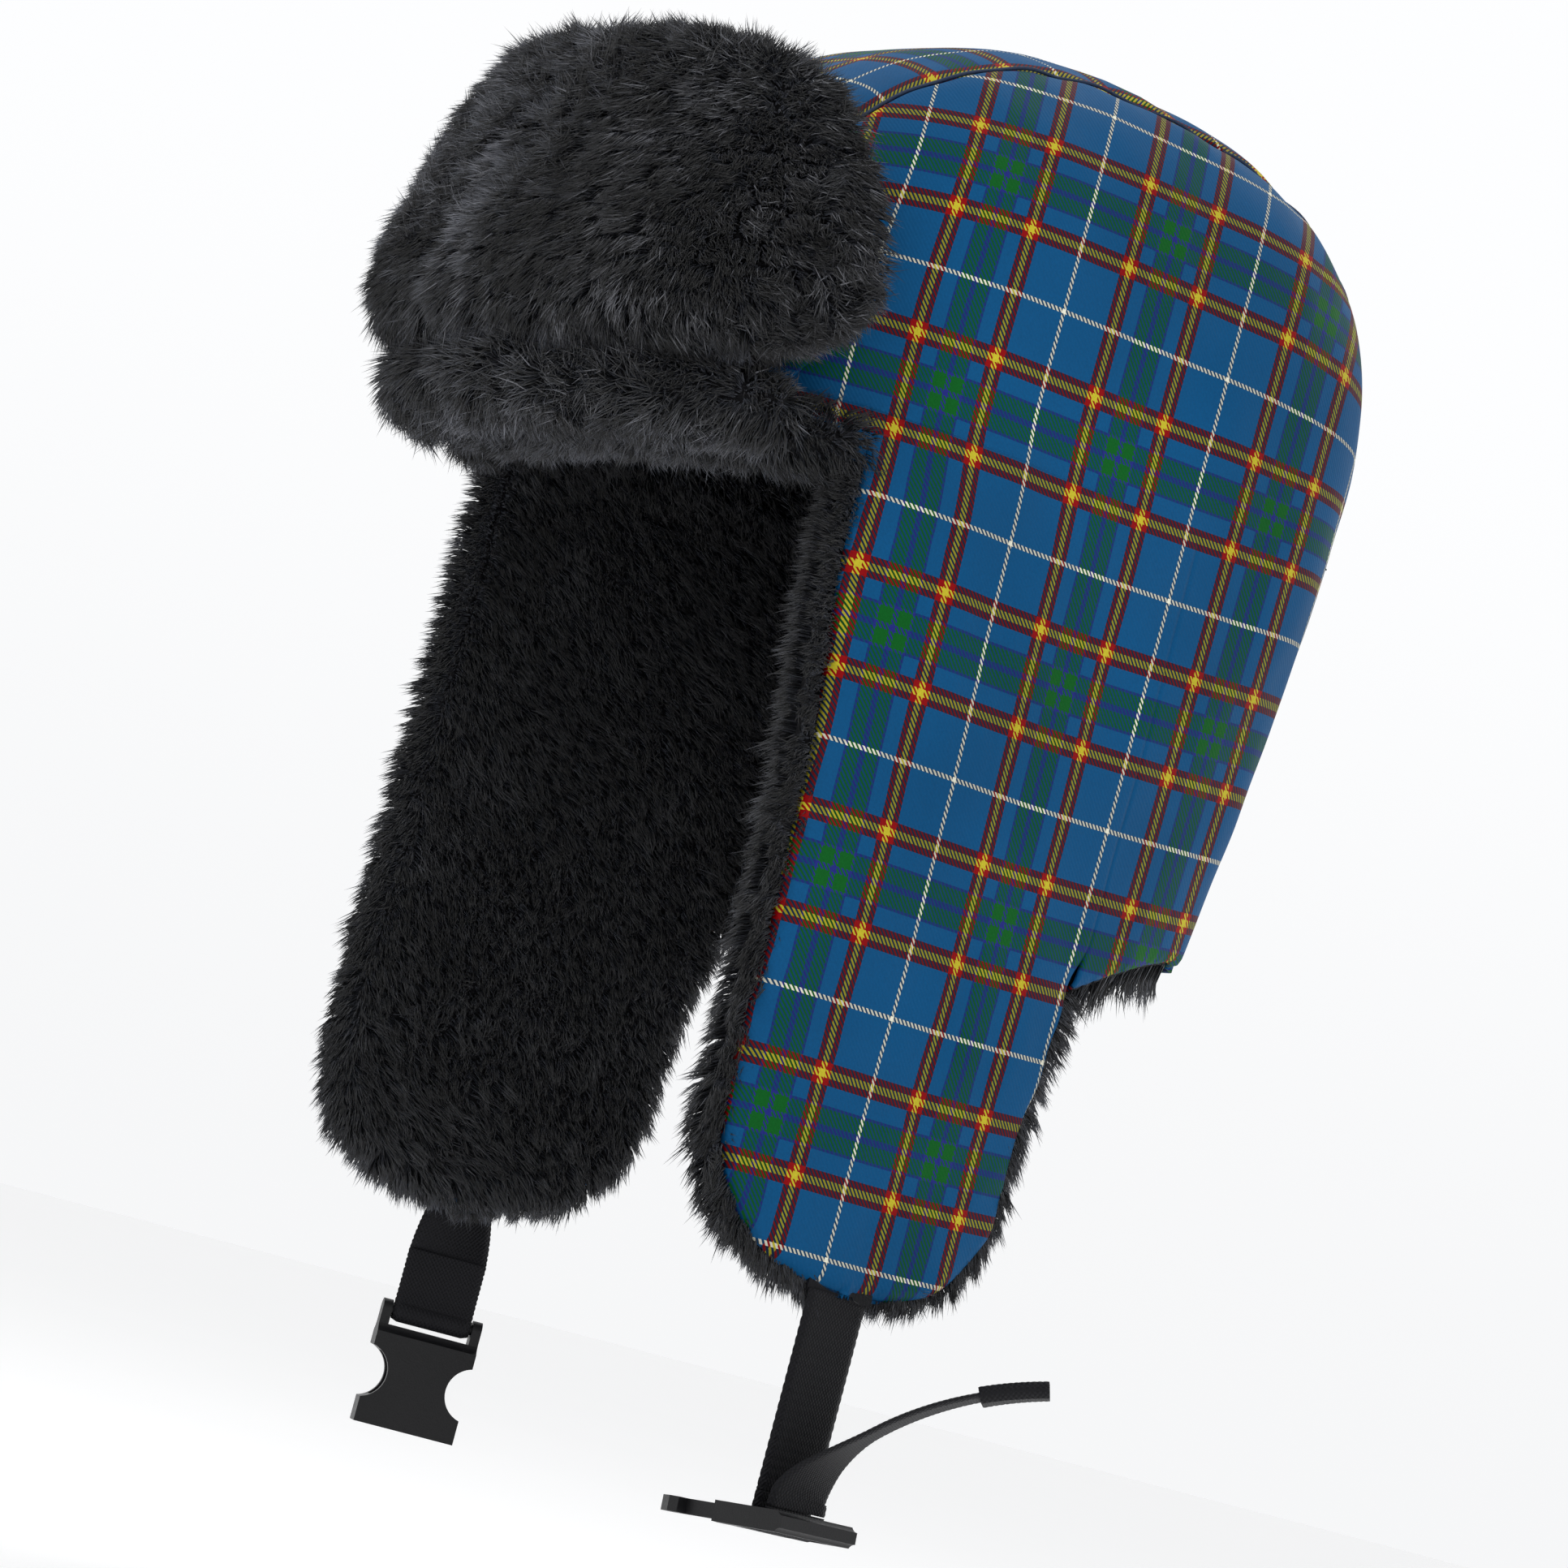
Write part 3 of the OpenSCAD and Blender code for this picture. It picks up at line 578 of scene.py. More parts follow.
# ---- checked fabric --------------------------------------------------------------------------
def cloth_uv(points):
    """Where the check falls on a side panel: across from front to back and up, in decimetres."""
    x, y, z = np.abs(points[..., 0]), points[..., 1], points[..., 2]
    lean_in = np.maximum(0, HALF_WIDTH - x)
    across = y - mix(0.5, 0.72, ease((z - WALL_TOP) / 50)) * lean_in - 0.012 * z
    up = z + 0.17 * lean_in * ease((z - WALL_TOP) / 30)
    droop = 4.6e-4 * np.maximum(0, y + 45) ** 2 * mix(1.0, 0.25, ease((z + 10) / 70))
    return np.stack([across, up - np.minimum(droop, 12.0)], -1) / 100


def wrinkled(grid, normals, amount=1.0, seed=3):
    """Slack in the cloth: broad soft hollows and short diagonal creases."""
    stretched = grid * np.array([1.0, 0.75, 0.45])
    slack = 0.9 * layered_noise(stretched, 42, seed) + 0.35 * noise(grid * np.array([1, 1.2, 0.6]), 13, seed + 5)
    return grid + normals * (amount * slack)[..., None]


def puckered(distance, along, seed):
    """Small gathers beside a sewn edge: a height for points at a distance from it."""
    beat = np.sin(along / 5.2 + 1.7 * noise(np.stack([along, 0 * along, 0 * along], -1), 31, seed))
    return 0.42 * beat * np.exp(-distance / 7.0) - 1.3 * np.exp(-distance / 2.2)


def side_panel(side):
    """The crown's side and its share of the nape, down to the ear flap's fold."""
    slit = slit_angle()
    front = np.linspace(0, 1, 96)
    front = mix(SEAM_FRONT, slit, 1 - np.cos(front * math.pi / 2))
    rear = mix(slit, SEAM_BACK, np.sin(np.linspace(0, 1, 64) * math.pi / 2))
    th = np.concatenate([front, rear[1:]])
    s = np.linspace(0, 1, 110)
    T, S = np.meshgrid(th, s, indexing="ij")
    upper = side_path(T, S, FABRIC_SPLIT_Z)
    T2, S2 = np.meshgrid(rear, np.linspace(0, 1, 70), indexing="ij")
    edge = nape_edge(T2)
    lower = wall_point(T2, mix(FABRIC_SPLIT_Z, edge, S2))
    brow = np.linspace(SEAM_FRONT, flap_start(), 24)
    T3, Z3 = np.meshgrid(brow, np.linspace(FABRIC_SPLIT_Z, FOLD_Z, 10), indexing="ij")
    rim = wall_point(T3, Z3)
    rim = wrinkled(rim, grid_normals(rim))
    upper_n, lower_n = grid_normals(upper), grid_normals(lower)
    seam_dist = np.linalg.norm(upper - upper[:, :1], axis=-1)
    along = np.cumsum(np.linalg.norm(np.diff(upper[:, 0], axis=0, prepend=upper[:1, 0]), axis=-1))
    lift = puckered(seam_dist, along[:, None] + 0 * seam_dist, 11)
    upper = wrinkled(upper, upper_n, 1.0) + upper_n * lift[..., None]
    lower = wrinkled(lower, lower_n, 1.0)
    hem = clamp01(1 - (lower[..., 2] - edge) / 5.0)
    hem_curl = 3.2 * (1 - np.sqrt(1 - hem**2)) + 0.5 * hem * np.sin(T2 * 120)
    lower = lower - lower_n * hem_curl[..., None]
    points = np.concatenate([upper.reshape(-1, 3), lower.reshape(-1, 3), rim.reshape(-1, 3)])
    starts = [0, upper[..., 0].size, upper[..., 0].size + lower[..., 0].size]
    faces = np.concatenate([grid_faces(*g.shape[:2], at) for g, at in zip((upper, lower, rim), starts, strict=True)])
    uvs = cloth_uv(points)
    if side < 0:
        points = mirrored(points)
        faces = flip_faces(faces)
    stitched = upper[:, 0] + upper_n[:, 0] * 0.9 + np.array([-0.5, 0, 0])
    stitched = stitched + np.array([0.5, 0, 0.35]) * np.sin(along / 4.7)[:, None]
    seam_thread("seam_left" if side > 0 else "seam_right", stitched if side > 0 else mirrored(stitched), 0.6, "crown")
    name = "side_panel_left" if side > 0 else "side_panel_right"
    obj = new_mesh(name, points, faces[:, ::-1], uvs)
    weld(obj)
    thicken(obj, SHELL)
    obj.data.materials.append(MATERIALS["side"])
    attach(obj, "crown")
    word = "left" if side > 0 else "right"
    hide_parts(f"crown_side_{word}", f"nape_side_{word}")
    return obj


def follow(obj, body, folds=False):
    """obj moves with a body; for cloth and fur over an ear flap's fold (folds), the placement is only baked into the
    mesh.
    """
    if folds:
        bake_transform(obj)
    else:
        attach(obj, body)


def seam_thread(name, path, radius, body):
    """A dark stitched line laid along a path, as a thin closed tube."""
    ahead = unit(np.gradient(path, axis=0))
    side = unit(np.cross(ahead, np.array([0.31, 0.17, 0.93])))
    up = np.cross(side, ahead)
    a = np.linspace(0, TAU, 7)[:-1]
    rings = path[:, None] + radius * (np.cos(a)[None, :, None] * side[:, None] + np.sin(a)[None, :, None] * up[:, None])
    count, sides = len(path), len(a)
    faces = [[i * sides + k, i * sides + (k + 1) % sides, (i + 1) * sides + (k + 1) % sides, (i + 1) * sides + k]
             for i in range(count - 1) for k in range(sides)]
    faces += [list(range(sides))[::-1], list(range((count - 1) * sides, count * sides))]
    obj = new_mesh(name, rings.reshape(-1, 3), faces)
    obj.data.materials.append(MATERIALS["thread"])
    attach(obj, body)


def weld(obj, distance=0.00004):
    bm = bmesh.new()
    bm.from_mesh(obj.data)
    bmesh.ops.remove_doubles(bm, verts=bm.verts, dist=distance)
    bm.to_mesh(obj.data)
    bm.free()


def centre_strip():
    """The strip over the top, from the front rim to the nape's edge."""
    x = np.linspace(-SEAM_X, SEAM_X, 64)
    rows = []
    for at in x:
        front, back = float(length_at(at, SQUARE_FRONT)), float(length_at(at, SQUARE_BACK))
        q = -np.cos(np.linspace(0, math.pi, 170))
        y = np.sign(q) * np.where(q < 0, front, back) * np.abs(q) ** (2 / SQUARE_DOME * 0.9)
        n = np.where(y < 0, SQUARE_FRONT, SQUARE_BACK)
        rho = clamp01(((abs(at) / HALF_WIDTH) ** n + (np.abs(y) / HALF_LENGTH) ** n) ** (1 / n))
        z = WALL_TOP + dome_height(y) * (1 - rho**SQUARE_DOME) ** (1 / SQUARE_DOME)
        dome = np.stack([at + 0 * y, y, z], -1)
        down = np.linspace(0, 1, 24)
        rise = skirt(at, -front, mix(0, WALL_TOP, down))[:-1]
        fall = skirt(at, back, mix(WALL_TOP, NAPE_BOTTOM, np.linspace(0, 1, 90)))[1:]
        rows.append(np.concatenate([rise, dome, fall]))
    grid = np.stack(rows)
    normals = -grid_normals(grid)
    step = np.linalg.norm(np.diff(grid, axis=1, prepend=grid[:, :1]), axis=-1)
    along = np.cumsum(step, axis=1)
    uvs = np.stack([along - along[:, 110:111], grid[..., 0]], -1) / 100
    beside = np.broadcast_to(SEAM_X - np.abs(x)[:, None], grid.shape[:2])
    grid = wrinkled(grid, normals, 0.7, 21) + normals * puckered(beside, along * 1.15, 33)[..., None] * 1.5
    gathers = 0.5 * np.sin(along / 6.5) * np.exp(-beside / 14) * ease(beside / 5)
    grid = grid + normals * gathers[..., None]
    obj = new_mesh("centre_strip", grid.reshape(-1, 3), grid_faces(*grid.shape[:2]), uvs.reshape(-1, 2))
    thicken(obj, SHELL)
    obj.data.materials.append(MATERIALS["strip"])
    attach(obj, "crown")
    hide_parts("crown_centre_strip")
    return obj


# ---- ear flaps -------------------------------------------------------------------------------
def flap_front(z):
    return mix(FLAP_FRONT, FLAP_FRONT_LOW, ease((FOLD_Z - z) / 120))


def flap_rear(z):
    return mix(FLAP_REAR, FLAP_REAR_LOW, ease((NOTCH - z) / (NOTCH - FLAP_BOTTOM - FLAP_ROUND)))


def flap_grid(extra, top, rows, columns, lowest_share=0.05, low_extra=None):
    """Points (y, z) over a flap, and each point's distance to the outline.

    The flap is grown by extra in front and by low_extra at its foot and rear.
    """
    low_extra = extra if low_extra is None else low_extra
    bottom = FLAP_BOTTOM - low_extra
    r = FLAP_ROUND + low_extra
    least = lowest_share**FLAP_SQUARENESS
    low = bottom + r - r * (1 - least) ** (1 / FLAP_SQUARENESS)
    t = np.linspace(0, 1, columns)
    z = mix(top, low, 1 - (1 - t) ** 1.5)
    drop = clamp01((bottom + r - z) / r)
    share = clamp01(1 - drop**FLAP_SQUARENESS) ** (1 / FLAP_SQUARENESS)
    rear = flap_rear(z) + low_extra * ease((NOTCH - 8 - z) / 12)
    front = flap_front(z) - extra
    mid, half = (front + rear) / 2, (rear - front) / 2
    s = np.linspace(-1, 1, rows)
    Y = mid[None, :] + s[:, None] * (half * share)[None, :]
    Z = np.broadcast_to(z, Y.shape)
    fine = np.linspace(0, 1, 400)
    fz = mix(top + 60, low, 1 - (1 - fine) ** 1.5)
    fdrop = clamp01((bottom + r - fz) / r)
    fshare = clamp01(1 - fdrop**FLAP_SQUARENESS) ** (1 / FLAP_SQUARENESS)
    frear = flap_rear(fz) + low_extra * ease((NOTCH - 8 - fz) / 12)
    ffront = flap_front(fz) - extra
    fmid, fhalf = (ffront + frear) / 2, (frear - ffront) / 2 * fshare
    outline = np.concatenate([np.stack([fmid - fhalf, fz], -1), np.stack([fmid + fhalf, fz], -1)[::-1]])
    gaps = np.stack([Y, Z], -1)[..., None, :] - outline
    distance = np.sqrt((gaps**2).sum(-1))
    nearest = distance.argmin(-1)
    steps = np.linalg.norm(np.diff(outline, axis=0, prepend=outline[:1]), axis=-1)
    return Y, Z, distance.min(-1), np.cumsum(steps)[nearest]


def ear_flap_shell(side):
    Y, Z, edge, along = flap_grid(0.0, FABRIC_SPLIT_Z, 90, 170)
    base = side_point(Y, Z)
    normals = -grid_normals(base)
    normals = normals * np.sign(normals[..., :1])
    in_sheet = ease((FOLD_Z + 4 - Z) / 20)
    beside_nape = (Y > -30) & (Z > NOTCH - 4)
    in_sheet = np.where(beside_nape, in_sheet * ease((NOTCH + 14 - Z) / 14), in_sheet)
    grid = wrinkled(base, normals, 1.0)
    curl = clamp01(1 - edge / 5.5)
    ripple = np.sin(along / 4.6 + 2.2 * noise(np.stack([along, 0 * along, 0 * along], -1), 23, 5))
    gathers = 0.55 * ripple * np.exp(-edge / 6.5) + 0.25 * layered_noise(base, 9, 41)
    depth = 4.6 * (1 - np.sqrt(1 - curl**2)) * in_sheet
    grid = grid + normals * (gathers * in_sheet - depth)[..., None]
    wander = 1.1 * noise(np.stack([along, 0 * along, 0 * along], -1), 19, 77) * np.exp(-edge / 5) * in_sheet
    grid[..., 1] += wander * np.sign(Y - (FLAP_FRONT + FLAP_REAR) / 2)
    points, faces = grid.reshape(-1, 3), grid_faces(*Y.shape)
    uvs = cloth_uv(base.reshape(-1, 3))
    if side < 0:
        points, faces = mirrored(points), flip_faces(faces)
    word = "left" if side > 0 else "right"
    obj = new_mesh(f"ear_flap_fabric_{word}", points, faces[:, ::-1], uvs)
    thicken(obj, SHELL)
    obj.data.materials.append(MATERIALS["side"])
    follow(obj, f"ear_flap_{word}", folds=True)
    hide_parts(f"ear_flap_{word}_shell")
    return obj


for hand in (1, -1):
    side_panel(hand)
    ear_flap_shell(hand)
centre_strip()


# ---- fur -------------------------------------------------------------------------------------
def scatter(grid, normals, weight, count, rng, wrap=False):
    """Random points over a grid surface, with their normals; weight is per point, 0 for bare."""
    if wrap:
        grid, normals = np.concatenate([grid, grid[:1]]), np.concatenate([normals, normals[:1]])
        weight = np.concatenate([weight, weight[:1]])
    a, b = grid[:-1, :-1], grid[1:, :-1]
    c, d = grid[1:, 1:], grid[:-1, 1:]
    area = np.linalg.norm(np.cross(c - a, d - b), axis=-1) / 2
    chance = area * (weight[:-1, :-1] + weight[1:, 1:]) / 2
    flat = chance.ravel() / chance.sum()
    pick = rng.choice(flat.size, count, p=flat)
    i, j = np.divmod(pick, chance.shape[1])
    u, v = rng.random(count)[:, None], rng.random(count)[:, None]

    def over(g):
        return (
            g[i, j] * (1 - u) * (1 - v) + g[i + 1, j] * u * (1 - v)
            + g[i, j + 1] * (1 - u) * v + g[i + 1, j + 1] * u * v
        )

    return over(grid), unit(over(normals))


def strands(name, roots, normals, flow, length, body, shades, rng, radius=0.3, lift=0.55,
            clump=6.0, pull=0.55, light=(0.38, 0.34, 0.20, 0.08), wild=0.25, folds=False):
    """Tapered closed strands, gathered into tufts. flow is the way the pile lies at each root; light is each shade's
    share of the strands, and the lighter shades, gathered in noise patches, are partly painted highlight.
    """
    count = len(roots)
    warp = np.stack([noise(roots, 9.0, 91), noise(roots, 9.0, 92), noise(roots, 9.0, 93)], -1)
    cells = np.floor((roots + 2.2 * warp) / clump).astype(np.int64)
    _, tuft = np.unique(cells, axis=0, return_inverse=True)
    tuft = tuft.ravel()
    size = np.bincount(tuft)
    centre = np.stack([np.bincount(tuft, roots[:, k]) / size for k in range(3)], -1)[tuft]
    tuft_turn = rng.normal(0, 0.3, (len(size), 3))[tuft]
    tuft_long = (1 + rng.normal(0, 0.13, len(size)))[tuft]
    flow = unit(flow + tuft_turn + rng.normal(0, wild, (count, 3)))
    flow = unit(flow - (flow * normals).sum(-1, keepdims=True) * normals)
    long = length * tuft_long * (1 + rng.normal(0, 0.14, count))
    to_centre = centre - roots
    to_centre -= (to_centre * normals).sum(-1, keepdims=True) * normals
    first = unit(normals * (lift + 0.35) + flow * (1 - lift))
    second = unit(normals * lift + flow * (1.15 - lift) + rng.normal(0, 0.1, (count, 3)))
    p0 = roots - normals * 0.8
    p1 = roots + first * (long * 0.48)[:, None] + to_centre * pull * 0.35
    p2 = p1 + second * (long * 0.52)[:, None] + to_centre * pull * 0.65
    thick = radius * (1 + rng.normal(0, 0.18, count))
    sideways = unit(np.cross(second, normals + 0.01))
    other = unit(np.cross(second, sideways))
    angle = rng.random(count) * TAU
    rings = []
    for spot, size_here in ((p0, 1.0), (p1, 0.8)):
        for k in range(3):
            a = (angle + k * TAU / 3)[:, None]
            rings.append(spot + (np.cos(a) * sideways + np.sin(a) * other) * (thick * size_here)[:, None])
    rings.append(p2)
    points = np.stack(rings, 1)
    quads = [[k, (k + 1) % 3, 3 + (k + 1) % 3, 3 + k] for k in range(3)]
    tris = [[3 + k, 3 + (k + 1) % 3, 6] for k in range(3)] + [[2, 1, 0]]
    # Strands in the brighter noise patches get the lighter shades: painted highlights on the pile, mixed with random
    # tone.
    tone_and_highlight_rank = np.argsort(np.argsort(0.75 * noise(roots, 15, 55) + 0.45 * noise(roots, 6, 56) + rng.normal(0, 0.35, count)))
    shade = np.searchsorted(np.cumsum(light)[:-1], tone_and_highlight_rank / count, side="right")
    most = 19000
    for part, at in enumerate(range(0, count, most)):
        piece = strand_mesh(f"{name}_{part}", points[at:at + most], quads, tris, shade[at:at + most], shades)
        follow(piece, body, folds)


def strand_mesh(name, block, quads, tris, shade, shades):
    """One mesh of strands of seven points each; the root is a shade darker than the tip."""
    count = len(block)
    base = (np.arange(count) * 7)[:, None, None]
    q = (np.array(quads)[None] + base).reshape(-1, 4)
    t = (np.array(tris)[None] + base).reshape(-1, 3)
    mesh = bpy.data.meshes.new(name)
    mesh.vertices.add(count * 7)
    mesh.vertices.foreach_set("co", (block.reshape(-1, 3) * MM).astype(np.float32).ravel())
    mesh.loops.add(q.size + t.size)
    mesh.loops.foreach_set("vertex_index", np.concatenate([q.ravel(), t.ravel()]).astype(np.int32))
    starts = np.concatenate([np.arange(len(q)) * 4, q.size + np.arange(len(t)) * 3])
    mesh.polygons.add(len(starts))
    mesh.polygons.foreach_set("loop_start", starts.astype(np.int32))
    for material in shades:
        mesh.materials.append(material)
    lower = np.maximum(shade - 1, 0)
    slots = np.concatenate([np.repeat(lower, len(quads)), np.repeat(shade, len(tris))])
    mesh.polygons.foreach_set("material_index", slots.astype(np.int32))
    mesh.polygons.foreach_set("use_smooth", np.ones(len(starts), bool))
    mesh.update(calc_edges=True)
    obj = bpy.data.objects.new(name, mesh)
    bpy.context.scene.collection.objects.link(obj)
    return obj


def backing(name, outer, inner, body, nodes, wrap=False, folds=False):
    """A closed pad between two grids, which the pile grows from."""
    rows, columns = outer.shape[:2]
    points = np.concatenate([outer.reshape(-1, 3), inner.reshape(-1, 3)])
    count = rows * columns
    faces = [grid_faces(rows, columns, 0, wrap), flip_faces(grid_faces(rows, columns, count, wrap))]
    i = np.arange(rows if wrap else rows - 1)
    n = (i + 1) % rows
    for j, back in ((0, False), (columns - 1, True)):
        a, b = i * columns + j, n * columns + j
        strip = np.stack([b, a, a + count, b + count], -1)
        faces.append(flip_faces(strip) if back else strip)
    if not wrap:
        j = np.arange(columns - 1)
        for row, back in ((0, False), (rows - 1, True)):
            a = row * columns + j
            strip = np.stack([a, a + 1, a + 1 + count, a + count], -1)
            faces.append(flip_faces(strip) if back else strip)
    obj = new_mesh(name, points, np.concatenate(faces))
    bm = bmesh.new()
    bm.from_mesh(obj.data)
    bmesh.ops.remove_doubles(bm, verts=bm.verts, dist=0.00002)
    bmesh.ops.recalc_face_normals(bm, faces=bm.faces)
    bm.to_mesh(obj.data)
    bm.free()
    obj.data.materials.append(MATERIALS["backing"])
    follow(obj, body, folds)
    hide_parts(*nodes)


DENSITY = 1.0


def ear_flap_fur(side):
    word = "left" if side > 0 else "right"
    rng = np.random.default_rng(50 + side)
    Y, Z, edge, _ = flap_grid(2.2, FOLD_Z + 12, 60, 110, low_extra=-1.5)
    plump = np.sqrt(np.maximum(0, 1 - clamp01(1 - edge / 4.0) ** 2)) * ease((FOLD_Z + 30 - Z) / 40 + 0.75)
    depth = WADDING + 0.3 + (FUR_ROOT - WADDING) * plump + 0.8 * noise(np.stack([0 * Y, Y, Z], -1), 22, 61)
    depth = np.maximum(depth, WADDING + 0.25)
    inner = side_point(Y, Z, 0.0) - np.array([1.0, 0, 0]) * depth[..., None]
    flat = side_point(Y, Z, 0.0) - np.array([WADDING + 0.1, 0, 0])
    normals = -grid_normals(inner)
    normals = normals * -np.sign(normals[..., :1])
    outward = unit(np.stack([0 * Y, Y + 31, Z + 150], -1) * np.array([0, 1.0, 0.35]))
    rim = np.exp(-edge / 4.0)[..., None]
    tilted = unit(normals * (1 - 0.75 * rim) + outward * rim * 0.9)
    if side < 0:
        inner, flat, tilted = mirrored(inner), mirrored(flat), mirrored(tilted)
    body = f"ear_flap_{word}"
    backing(f"ear_flap_pad_{word}", inner, flat, body, [f"{body}_fur", f"{body}_wadding"], folds=True)
    weight = 1 + 2.2 * np.exp(-edge / 3.5)
    roots, n = scatter(inner, tilted, weight, int(42000 * DENSITY), rng)
    side_weight = np.exp(-((edge / 4.0) ** 2)) * np.where((Y > -30) & (NOTCH < Z), 0.0, 1.0) * (Z < FOLD_Z + 8)
    side_out = unit(outward + np.array([0.55 * side, 0, 0]))
    side_roots, side_n = scatter(flat, side_out, side_weight, int(7000 * DENSITY), rng)
    roots, n = np.concatenate([roots, side_roots]), np.concatenate([n, side_n])
    down = np.array([0.0, 0.15, -1.0])
    swirl = np.stack([0 * roots[:, 0], noise(roots, 45, 7), 0.6 * noise(roots, 38, 8)], -1)
    flow = down + 0.7 * swirl
    strands(f"ear_fur_{word}", roots, n, flow, 8.2, body, LINING_FUR, rng,
            radius=0.26, lift=0.56, clump=4.0, pull=0.3, folds=True, wild=0.12)


def nape_and_band_fur():
    rng = np.random.default_rng(71)
    low, high = slit_angle(FUR_ROOT, 1.5), TAU - slit_angle(FUR_ROOT, 1.5)
    th = np.linspace(low, high, 130)
    T, S = np.meshgrid(th, np.linspace(0, 1, 50), indexing="ij")
    edge = nape_edge(T, 1.0)
    Z = mix(FOLD_Z, edge, S)
    plump = np.sqrt(np.maximum(0, 1 - clamp01(1 - (Z - edge) / 9.0) ** 2))
    depth = WADDING + 0.3 + (FUR_ROOT - WADDING) * plump
    inner = wall_point(T, Z, depth)
    flat = wall_point(T, Z, WADDING + 0.1)
    normals = -grid_normals(inner)
    backing("nape_pad", inner, flat, "crown", ["nape_fur_lining", "nape_wadding"])
    roots, n = scatter(inner, normals, 1 + 2.0 * (1 - plump), int(17000 * DENSITY), rng)
    near_edge = ease((nape_edge(0 * roots[:, 0] + 2.2) + 22 - roots[:, 2]) / 22)[:, None]
    n = unit(n + np.array([0, 0, -0.7]) * near_edge * 0.6)
    flow = np.array([0.0, 0.0, -1.0]) + 0.5 * np.stack([noise(roots, 40, 3), noise(roots, 40, 4), 0 * roots[:, 0]], -1)
    strands("nape_fur", roots, n, flow, 11.5, "crown", LINING_FUR, rng, radius=0.3, lift=0.6,
            clump=4.5, pull=0.4)
    th = np.linspace(0, TAU, 181)[:-1]
    T, S = np.meshgrid(th, np.linspace(0, 1, 16), indexing="ij")
    Z = mix(WALL_TOP - 7, FOLD_Z + 1, S)
    inner = wall_point(T, Z, FUR_ROOT - 0.6)
    flat = wall_point(T, Z, WADDING + 0.1)
    backing("band_pad", inner, flat, "crown", ["crown_fur_band"], wrap=True)
    normals = -grid_normals(inner, True)
    roots, n = scatter(inner, normals, np.ones(inner.shape[:2]), int(13000 * DENSITY), rng, True)
    flow = np.array([0.0, 0.0, -1.0]) + 0.3 * np.stack([noise(roots, 30, 13), noise(roots, 30, 14), 0 * roots[:, 0]], -1)
    strands("band_fur", roots, n, flow, 10.5, "crown", LINING_FUR, rng, radius=0.32, lift=0.55,
            clump=4.5, pull=0.4)


# ---- brow flap -------------------------------------------------------------------------------
def outward_of(th):
    """The crown wall's outward direction at plan angle th, as x and y."""
    (x1, y1), (x2, y2) = ring(th - 0.004), ring(th + 0.004)
    length = np.hypot(x2 - x1, y2 - y1)
    return (y2 - y1) / length, -(x2 - x1) / length


def brow_point(th, z, out):
    x, y = ring(th)
    nx, ny = outward_of(th)
    return np.stack(np.broadcast_arrays(x + out * nx, y + out * ny, z), -1)


def rim_point(th, z, out):
    """A point a distance out from the wall where it flares over the ear flaps."""
    nx, ny = outward_of(th)
    return wall_point(th, z) + np.stack(np.broadcast_arrays(out * nx, out * ny, 0 * z), -1)


def brow_back(z):
    return mix(4.8, 6.5, ease(z / BROW_TOP))


def brow_tube(name, body, centre_z, half_tall, centre_out, half_deep, end, square, nodes, count, seed, lumps,
              length, shades, bare_back=-0.55, place=None, lean=0.0):
    """A plump fur bolster along the brow: a closed tube whose ends round off, with its pile."""
    rng = np.random.default_rng(seed)
    s = np.sin(np.linspace(-math.pi / 2, math.pi / 2, 150))
    a = np.linspace(0, TAU, 97)[:-1]
    S, A = np.meshgrid(s, a, indexing="ij")
    rounding = np.maximum(0.02, (1 - np.abs(S) ** 5) ** 0.5)
    ca, sa = np.cos(A), np.sin(A)
    rise = np.sign(sa) * np.abs(sa) ** (2 / square)
    z = centre_z + half_tall * mix(0.72, 1.0, rounding) * rounding**0.35 * rise
    deep = half_deep * (1 - lean * rise)
    out = centre_out - half_deep + deep * (1 + rounding * np.sign(ca) * np.abs(ca) ** (2 / square))
    narrow = 1 - 0.05 * ease((26 - z) / 30) - 0.15 * ease((z - 35) / 60)
    grid = (place or brow_point)(S * end * narrow, z, out)
    grid = np.concatenate([grid, grid[:, :1]], 1)
    normals = unit(np.cross(np.gradient(grid, axis=0), np.gradient(grid, axis=1)))
    middle = grid[:, :-1].mean(1, keepdims=True)
    if ((grid - middle) * normals).sum() < 0:
        normals = -normals
    facing = np.concatenate([ca, ca[:, :1]], 1)
    swell = lumps * layered_noise(grid, 34, seed + 3) * clamp01(facing + 0.4)
    grid = grid + normals * swell[..., None]
    rows, columns = grid.shape[:2]
    faces = grid_faces(rows, columns)
    caps = [list(range(columns - 1)), list(range((rows - 1) * columns, rows * columns - 1))[::-1]]
    obj = new_mesh(name, grid.reshape(-1, 3), [*faces.tolist(), *caps])
    bm = bmesh.new()
    bm.from_mesh(obj.data)
    bmesh.ops.remove_doubles(bm, verts=bm.verts, dist=0.00002)
    bmesh.ops.recalc_face_normals(bm, faces=bm.faces)
    bm.to_mesh(obj.data)
    bm.free()
    obj.data.materials.append(MATERIALS["backing"])
    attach(obj, body)
    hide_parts(*nodes)
    weight = np.where(facing > bare_back, 1.0, 0.0) * (1 + 0.6 * (np.abs(np.concatenate([sa, sa[:, :1]], 1)) > 0.9))
    roots, n = scatter(grid, normals, weight, int(count * DENSITY), rng)
    sweep = np.stack([
        0.9 * noise(roots, 48, seed + 5) + 0.25 * np.sign(roots[:, 0]),
        0.5 * noise(roots, 48, seed + 6),
        -0.75 + 0.9 * noise(roots, 52, seed + 7),
    ], -1)
    strands(f"{name}_pile", roots, n, sweep, length, body, shades, rng, radius=0.27, lift=0.5,
            clump=5.5, pull=0.42, wild=0.22)


